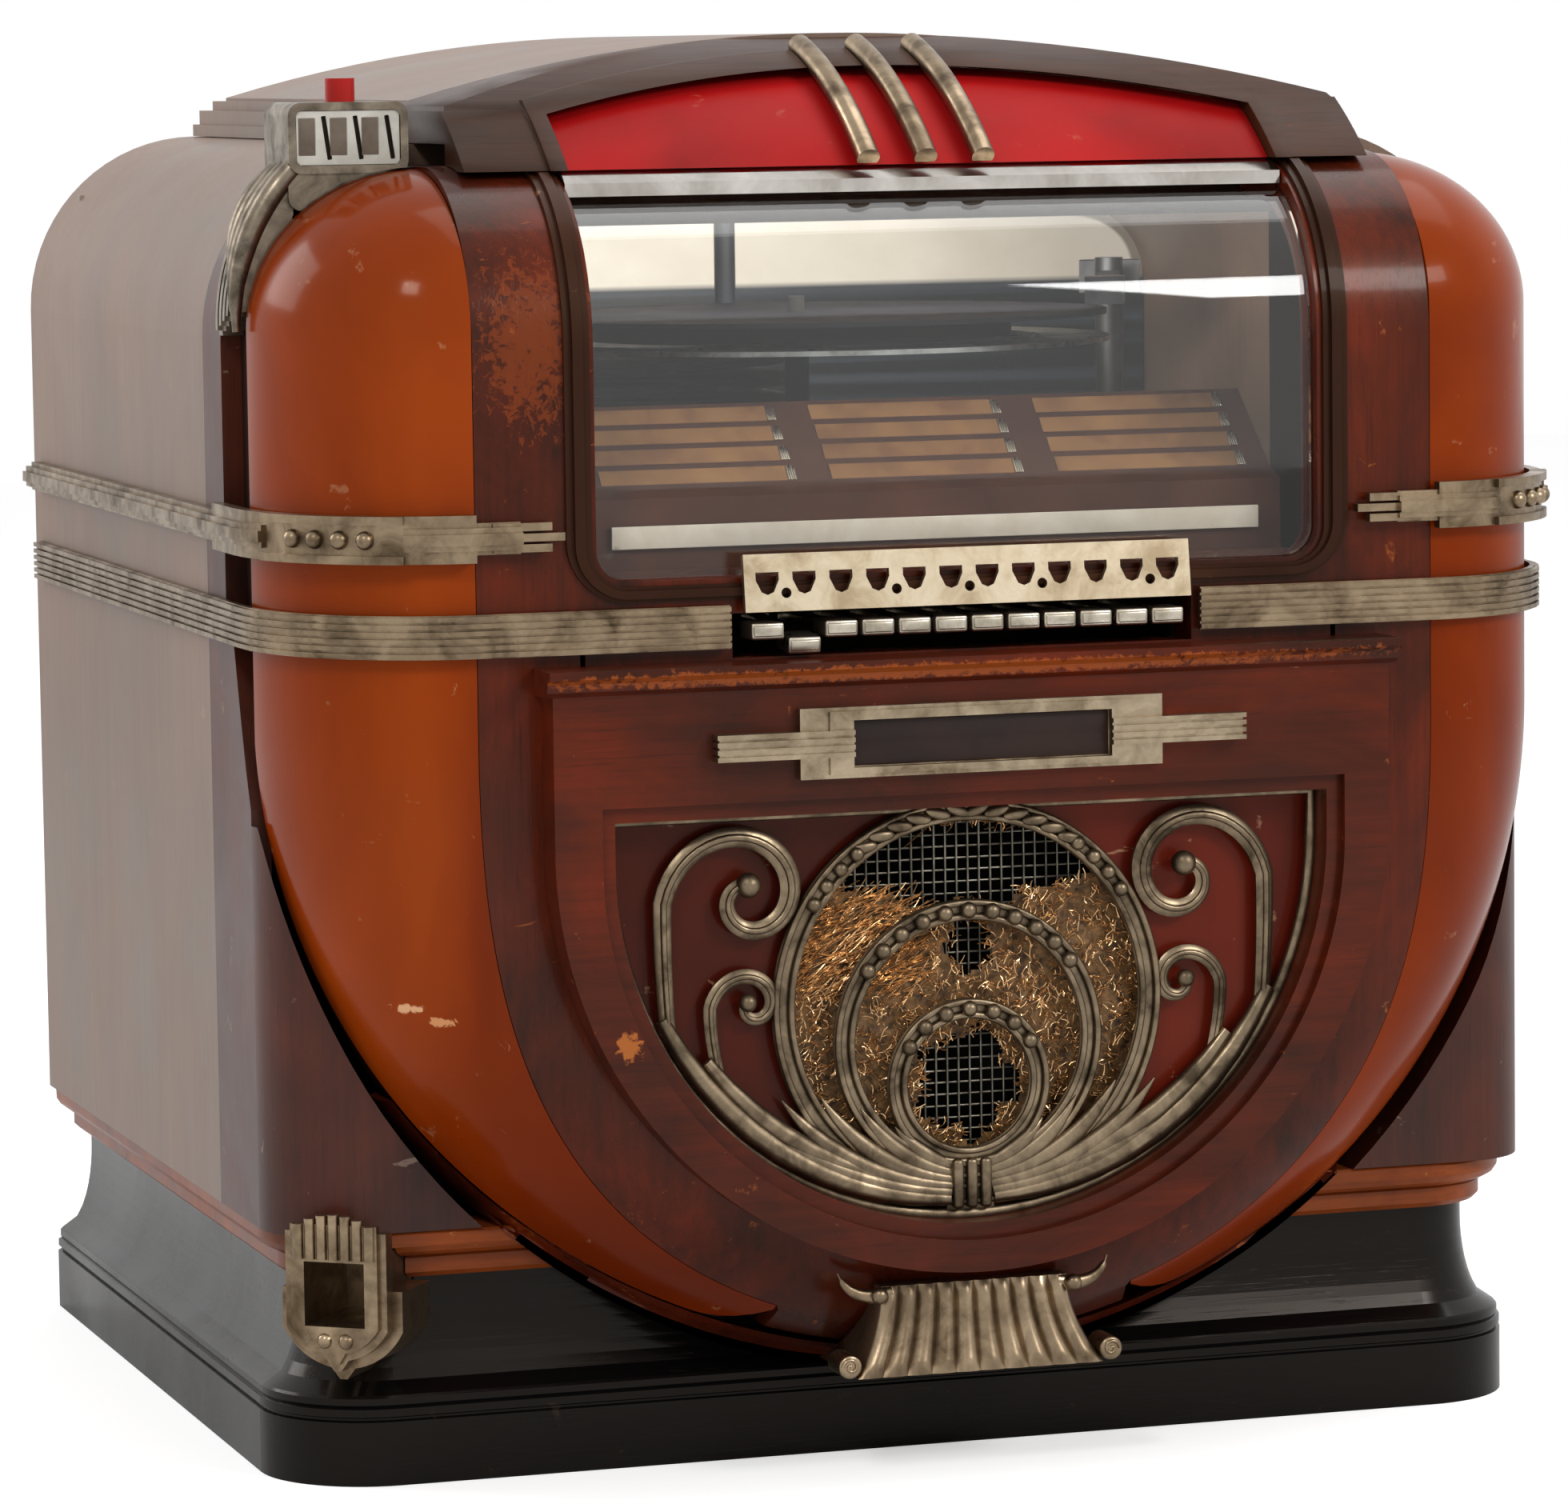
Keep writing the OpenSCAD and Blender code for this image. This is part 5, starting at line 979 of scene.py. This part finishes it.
def makeFoot():
    parts, volute = [makeFlutes()], foot["volute"]
    for s in (-1, 1):
        x, z = s * (foot["half"] + volute["out"]), foot["footZ"] + volute["up"]
        front = (x, foot["footY"] + volute["front"], z)
        parts.append(addRod(front, (x, volute["back"], z), volute["radius"], volute["sides"]))
        roundEdges(parts[-1], volute["round"])
        coil = []
        for a in range(0, volute["coilTurn"], volute["turnStep"]):
            reach = volute["coil"] * (1 - a / volute["turn"])
            coil.append((x + s * reach * cosd(a), foot["footY"] + volute["coilFront"], z + reach * sind(a)))
        parts.append(linePiece("volute", coil, volute["wire"]))
        *ear, button = [(s * (foot["head"] + out), foot["headY"] + back, foot["headZ"] + up)
                        for out, back, up in foot["ear"] + [foot["button"]]]
        radii = [1 - foot["earThinner"] * k for k in range(foot["earSteps"] - 1)] + foot["earPoint"]
        line = quadratic(*ear, foot["earSteps"])
        parts.append(linePiece("ear", line, foot["earThick"], radii, flat=foot["earFlat"]))
        parts.append(addBall(button, foot["buttonSize"]))
    return joinPieces(parts, "foot")


settle(makeFoot(), "cast_metal", ["foot_ornament"], smoothAngle=50)
print("foot")


# Keys, modelled once and copied; the second one is down

keys = {
    "count": 12, "pitch": 14.7, "half": 6.5, "front": -273, "top": 333, "high": 6.5, "deep": 16, "round": 1.0,
    "lip": (0.8, 0.5, 1.2), "lipRound": 0.5, "stem": (3, 1, 4), "stemRound": 0.4,
    "shaft": (-205, 330), "hub": 5, "pressed": 2, "press": 5,
}


def makeKey():
    half, front, top, low = keys["half"], keys["front"], keys["top"], keys["top"] - keys["high"]
    back = front + keys["deep"]
    side, proud, edge = keys["lip"]
    narrow, into, down = keys["stem"]
    parts = [addBlock((-half, front, low), (half, back, top), keys["round"]),
             addBlock((-half + side, front - proud, low + edge), (half - side, front + 1, top - edge),
                      keys["lipRound"]),
             addBlock((-half + narrow, back - into, top - down), (half - narrow, keys["shaft"][0], top - 1),
                      keys["stemRound"]),
             addRod((-half + 1, *keys["shaft"]), (half - 1, *keys["shaft"]), keys["hub"])]
    key = joinPieces(parts, "key")
    settlePlace(key)
    return key


firstKey = makeKey()
shaft = Vector((0, keys["shaft"][0] * mm, keys["shaft"][1] * mm))
for number in range(1, keys["count"] + 1):
    key = addObject("key%02d" % number, firstKey.data.copy())
    shift = Matrix.Translation(((number - (keys["count"] + 1) / 2) * keys["pitch"] * mm, 0, 0))
    if number == keys["pressed"]:
        turn = Matrix.Rotation(math.radians(keys["press"]), 4, "X")
        shift = shift @ Matrix.Translation(shaft) @ turn @ Matrix.Translation(-shaft)
    key.data.transform(shift)
    settle(key, "key_plastic", ["selector_key_%02d" % number], body="key_%02d" % number)
bpy.data.objects.remove(firstKey)
print("keys")


# The nameplate's bare field, the title strips laid like shingles in bright holders, and the bare card below

nameField = {"block": ((-51.6, -284.6, 278.4), (51.6, -283.6, 295.6), 0.3)}
titles = {
    "foot": (-225, 383), "head": (-191, 412), "half": 39, "step": 92.8, "rows": 4, "lift": 7, "over": 0.9,
    "cardEnd": 3, "cardShort": 3.0, "cardThick": 0.5, "cardRound": 0.15,
    "rail": (0.4, 1.4, -0.6), "railRound": 0.2, "floor": -0.1,
    "teeth": 4, "toothPitch": 0.9, "toothWide": 0.8, "toothHigh": 1.0, "toothShort": (3.2, 4.5),
    "toothRound": 0.25,
    "card": ((-132, -238, 360), (132, -236.6, 368.7), 0.3),
}


def titleParts(pitch):
    # One strip with its holder: a rail at its foot, and teeth of two lengths at its end
    half, over, end = titles["half"], titles["over"], titles["half"] - titles["cardEnd"]
    near, far, low = titles["rail"]
    parts = [addBlock((-half, over - pitch, 0), (end, -titles["cardShort"], titles["cardThick"]),
                      titles["cardRound"]),
             addBlock((-half, near - pitch, low), (half, far - pitch, titles["floor"]), titles["railRound"])]
    for k in range(titles["teeth"]):
        x = end + titles["toothPitch"] * k
        top = (x + titles["toothWide"], -titles["toothShort"][k % 2], titles["toothHigh"])
        parts.append(addBlock((x, over - pitch, titles["floor"]), top, titles["toothRound"]))
    return parts


def makeTitles():
    rise = Vector([b - a for a, b in zip(titles["foot"], titles["head"])])
    pitch = rise.length / titles["rows"]
    slope = Matrix.Translation((0, titles["foot"][0] * mm, titles["foot"][1] * mm))
    slope = slope @ Matrix.Rotation(math.atan2(rise.y, rise.x), 4, "X")
    lift = Matrix.Rotation(math.radians(titles["lift"]), 4, "X")
    cards, holders = [], []
    for column in (-1, 0, 1):
        for row in range(1, titles["rows"] + 1):
            parts = titleParts(pitch)
            seat = Matrix.Translation((column * titles["step"] * mm, row * pitch * mm, titles["over"] * mm))
            for part in parts:
                settlePlace(part)
                part.data.transform(slope @ seat @ lift)
            cards.append(parts[0])
            holders += parts[1:]
    settle(joinPieces(cards, "titleStrips"), "title_card", ["title_cards"])
    settle(joinPieces(holders, "titleHolders"), "holder_metal")
    settle(addBlock(*titles["card"], "directionCard"), "pale_card")


settle(addBlock(*nameField["block"], "nameField"), "name_field")
print("nameplate field")
makeTitles()
print("titles")


# Plate of the coin head: three slanted slots, each with a bare label beside it, and four folds under it

coinHead = {
    "low": (-239.7, -188.9, 507.3), "high": (-199.3, -188.1, 527.7), "pitch": 12.4, "lean": 8,
    "slot": 4, "slotHalf": 0.95, "slotLow": -8.6, "slotHigh": 8.2, "slotRound": 0.4,
    "label": -3.7, "labelHalf": 3.6, "labelLow": 17.2, "labelHigh": 2.4, "labelDepth": 0.35,
    "labelRound": 0.9, "labelGap": 0.3, "labelSunk": 0.2, "labelLevel": 0.01, "cardRound": 0.05,
    "inset": 1.4, "darkGap": 0.3, "darkBack": 1.2, "darkRound": 0.3,
}
wing = {
    "middle": (-176.5, 446), "radius": 87.2, "folds": 4, "steps": 18, "thick": 4.6, "y": -184.6, "pitch": 8.6,
    "first": (128, 3), "last": (181, -5), "swell": 1.2, "draw": 3.0,
    "thin": 0.35, "grown": 0.18, "grow": 0.86, "full": 0.7,
}


def cutOut(piece, cutter):
    applyModifier(piece, "BOOLEAN", operation="DIFFERENCE", object=cutter, solver="EXACT")
    bpy.data.objects.remove(cutter)


def makeCoinPlate():
    head, low, high = coinHead, coinHead["low"], coinHead["high"]
    plate, labels, gap = addBlock(low, high, 0, "coinPlate"), [], coinHead["labelGap"]
    for k in (-1, 0, 1):
        x = (low[0] + high[0]) / 2 + k * head["pitch"]
        slot = addBlock((-head["slotHalf"], low[1] - 1, head["slotLow"]),
                        (head["slotHalf"], high[1] + 1, head["slotHigh"]), head["slotRound"])
        slot.rotation_euler = (0, math.radians(-head["lean"]), 0)
        slot.location = ((x + head["slot"]) * mm, slot.location.y, (low[2] + high[2]) / 2 * mm)
        cutOut(plate, slot)
        left, right = x + head["label"] - head["labelHalf"], x + head["label"] + head["labelHalf"]
        bottom, top = high[2] - head["labelLow"], high[2] - head["labelHigh"]
        depth = low[1] + head["labelDepth"]
        cutOut(plate, addBlock((left, low[1] - 1, bottom), (right, depth, top), head["labelRound"]))
        labels.append(addBlock((left + gap, low[1] + head["labelSunk"], bottom + gap),
                               (right - gap, depth - head["labelLevel"], top - gap), head["cardRound"]))
    settle(plate, "coin_plate", ["coin_slot_plate"])
    settle(joinPieces(labels, "coinLabels"), "coin_label")
    # A near-black sheet just behind the plate: painted shade seen through the slots
    inset, back = head["inset"], high[1]
    near = (low[0] + inset, back + head["darkGap"], low[2] + inset)
    far = (high[0] - inset, back + head["darkBack"], high[2] - inset)
    behind = addBlock(near, far, head["darkRound"], "coinSlotShade")
    settle(behind, "dark_inside")


def makeWing():
    # The folds sweep down over the shoulder and run out in a point
    folds = []
    for k in range(wing["folds"]):
        first, last = [start + change * k for start, change in (wing["first"], wing["last"])]
        line, radii = [], []
        for t in shares(wing["steps"]):
            a, reach = first + (last - first) * t, wing["radius"] + wing["swell"] * math.sin(math.pi * t)
            y = wing["y"] + k * (wing["pitch"] - wing["draw"] * t * t)
            line.append((wing["middle"][0] + reach * cosd(a), y, wing["middle"][1] + reach * sind(a)))
            run = math.sin(math.pi * min(1, wing["grown"] + t * wing["grow"]))
            radii.append(wing["thin"] + (1 - wing["thin"]) * run ** wing["full"])
        folds.append(linePiece("wingFold", line, wing["thick"], radii, sides=4))
    return joinPieces(folds, "coinWing")


makeCoinPlate()
settle(makeWing(), "coin_grey", smoothAngle=60)
print("coin head")


# Silvered sheet across the back of the works, and the front of the lid with its hard edges worn round

backSheet = {"block": ((-245, 187, 300), (245, 189, 490), 0.6)}
frontCap = {"edge": 3.5, "flatAngle": 1, "edgeAngle": 50}


def makeFrontCap():
    cap = nodes["lid_front_cap"].copy()
    cap.data = cap.data.copy()
    cap.name = "frontCap"
    bpy.context.collection.objects.link(cap)
    turnOutwards(cap)
    bpy.ops.object.mode_set(mode="EDIT")
    bpy.ops.mesh.select_all(action="SELECT")
    bpy.ops.mesh.dissolve_limited(angle_limit=math.radians(frontCap["flatAngle"]))
    bpy.ops.object.mode_set(mode="OBJECT")
    roundEdges(cap, frontCap["edge"], 4, angle_limit=math.radians(frontCap["edgeAngle"]))
    return cap


settle(addBlock(*backSheet["block"], "silveredSheet"), "reflector", ["mirror_panel"])
print("silvered sheet")
settle(makeFrontCap(), "cap_wood", ["lid_front_cap"], body="lid", smoothAngle=30)
print("front cap")


# Camera, floor and light

view = {"place": (-0.86256, -2.74556, 0.55036), "yaw": -17.6616, "tilt": 84.1144, "roll": -0.7763,
        "lens": 157.90, "sensor": 36, "far": 50}
floorLook = {"size": 12, "shade": 0.86, "rough": 0.9, "seen": 0.45}
skyStrength = 0.55
lamps = {  # place, target, size, power, tint
    "keySoftbox": ((1.4, -2.2, 1.65), (0, 0, 0.3), (0.95, 0.6), 30),
    "smallLamp": ((-1.3, -1.9, 2.15), (0, 0, 0.35), (0.5, 0.5), 16),
    "leftWindow": ((-2.5, 1.8, 1.7), (0, 0, 0.3), (1.6, 1.6), 38),
    "topFill": ((1.0, 0.3, 2.8), (0.1, 0, 0.4), (1.6, 2.0), 22),
    "insideLamp": ((0.0, -0.105, 0.508), (0.0, 0.12, 0.43), (0.27, 0.02), 1.2, (1.0, 0.95, 0.88)),
}


def addCamera():
    camera = bpy.data.cameras.new("photoCamera")
    camera.lens, camera.sensor_width, camera.clip_end = view["lens"], view["sensor"], view["far"]
    seat = Matrix.Translation(view["place"])
    for label, axis in (("yaw", "Z"), ("tilt", "X"), ("roll", "Z")):
        seat = seat @ Matrix.Rotation(math.radians(view[label]), 4, axis)
    bpy.context.scene.camera = addObject("photoCamera", camera)
    bpy.context.scene.camera.matrix_world = seat


def addLamp(name, place, target, size, power, tint=(1, 1, 1)):
    lamp = bpy.data.lights.new(name, "AREA")
    lamp.shape = "RECTANGLE"
    lamp.size, lamp.size_y = size
    lamp.energy, lamp.color = power, tint
    lampObject = addObject(name, lamp)
    lampObject.location = place
    lampObject.rotation_euler = (Vector(target) - Vector(place)).to_track_quat("-Z", "Y").to_euler()


def makeFloor():
    # The floor keeps its shadow, and glows a little where the camera sees it
    clearSelection()
    bpy.ops.mesh.primitive_plane_add(size=floorLook["size"], location=(0, 0, 0))
    floor = bpy.context.object
    floor.name = "studioFloor"
    mat, tree, shader, place = startMaterial("studioFloor", {
        "Roughness": floorLook["rough"], "Base Color": (*[floorLook["shade"]] * 3, 1)})
    seen = addMath(tree, "MULTIPLY", addNode(tree, "LightPath").outputs["Is Camera Ray"], floorLook["seen"])
    glow = addNode(tree, "Emission", {"Strength": seen}).outputs[0]
    mixed = addNode(tree, "AddShader", {0: tree.nodes["Principled BSDF"].outputs[0], 1: glow}).outputs[0]
    feed(tree, tree.nodes["Material Output"].inputs["Surface"], mixed)
    floor.data.materials.append(mat)


def makeSky():
    # Pale light on the object, white where it is seen, mirrored or looked at through glass
    world = bpy.data.worlds.new("studio")
    bpy.context.scene.world = world
    world.use_nodes = True
    tree, sky = world.node_tree, world.node_tree.nodes["Background"].inputs
    path = addNode(tree, "LightPath").outputs
    seen = addMath(tree, "MAXIMUM", path["Is Camera Ray"], path["Is Transmission Ray"])
    seen = addMath(tree, "MAXIMUM", seen, path["Is Glossy Ray"])
    feed(tree, sky["Color"], (1, 1, 1, 1))
    feed(tree, sky["Strength"], addRange(tree, seen, 0, 1, skyStrength, 1.0))


addCamera()
makeFloor()
makeSky()
for name, lamp in lamps.items():
    addLamp(name, *lamp)
bpy.context.scene.view_settings.view_transform = "Standard"

print("finished")
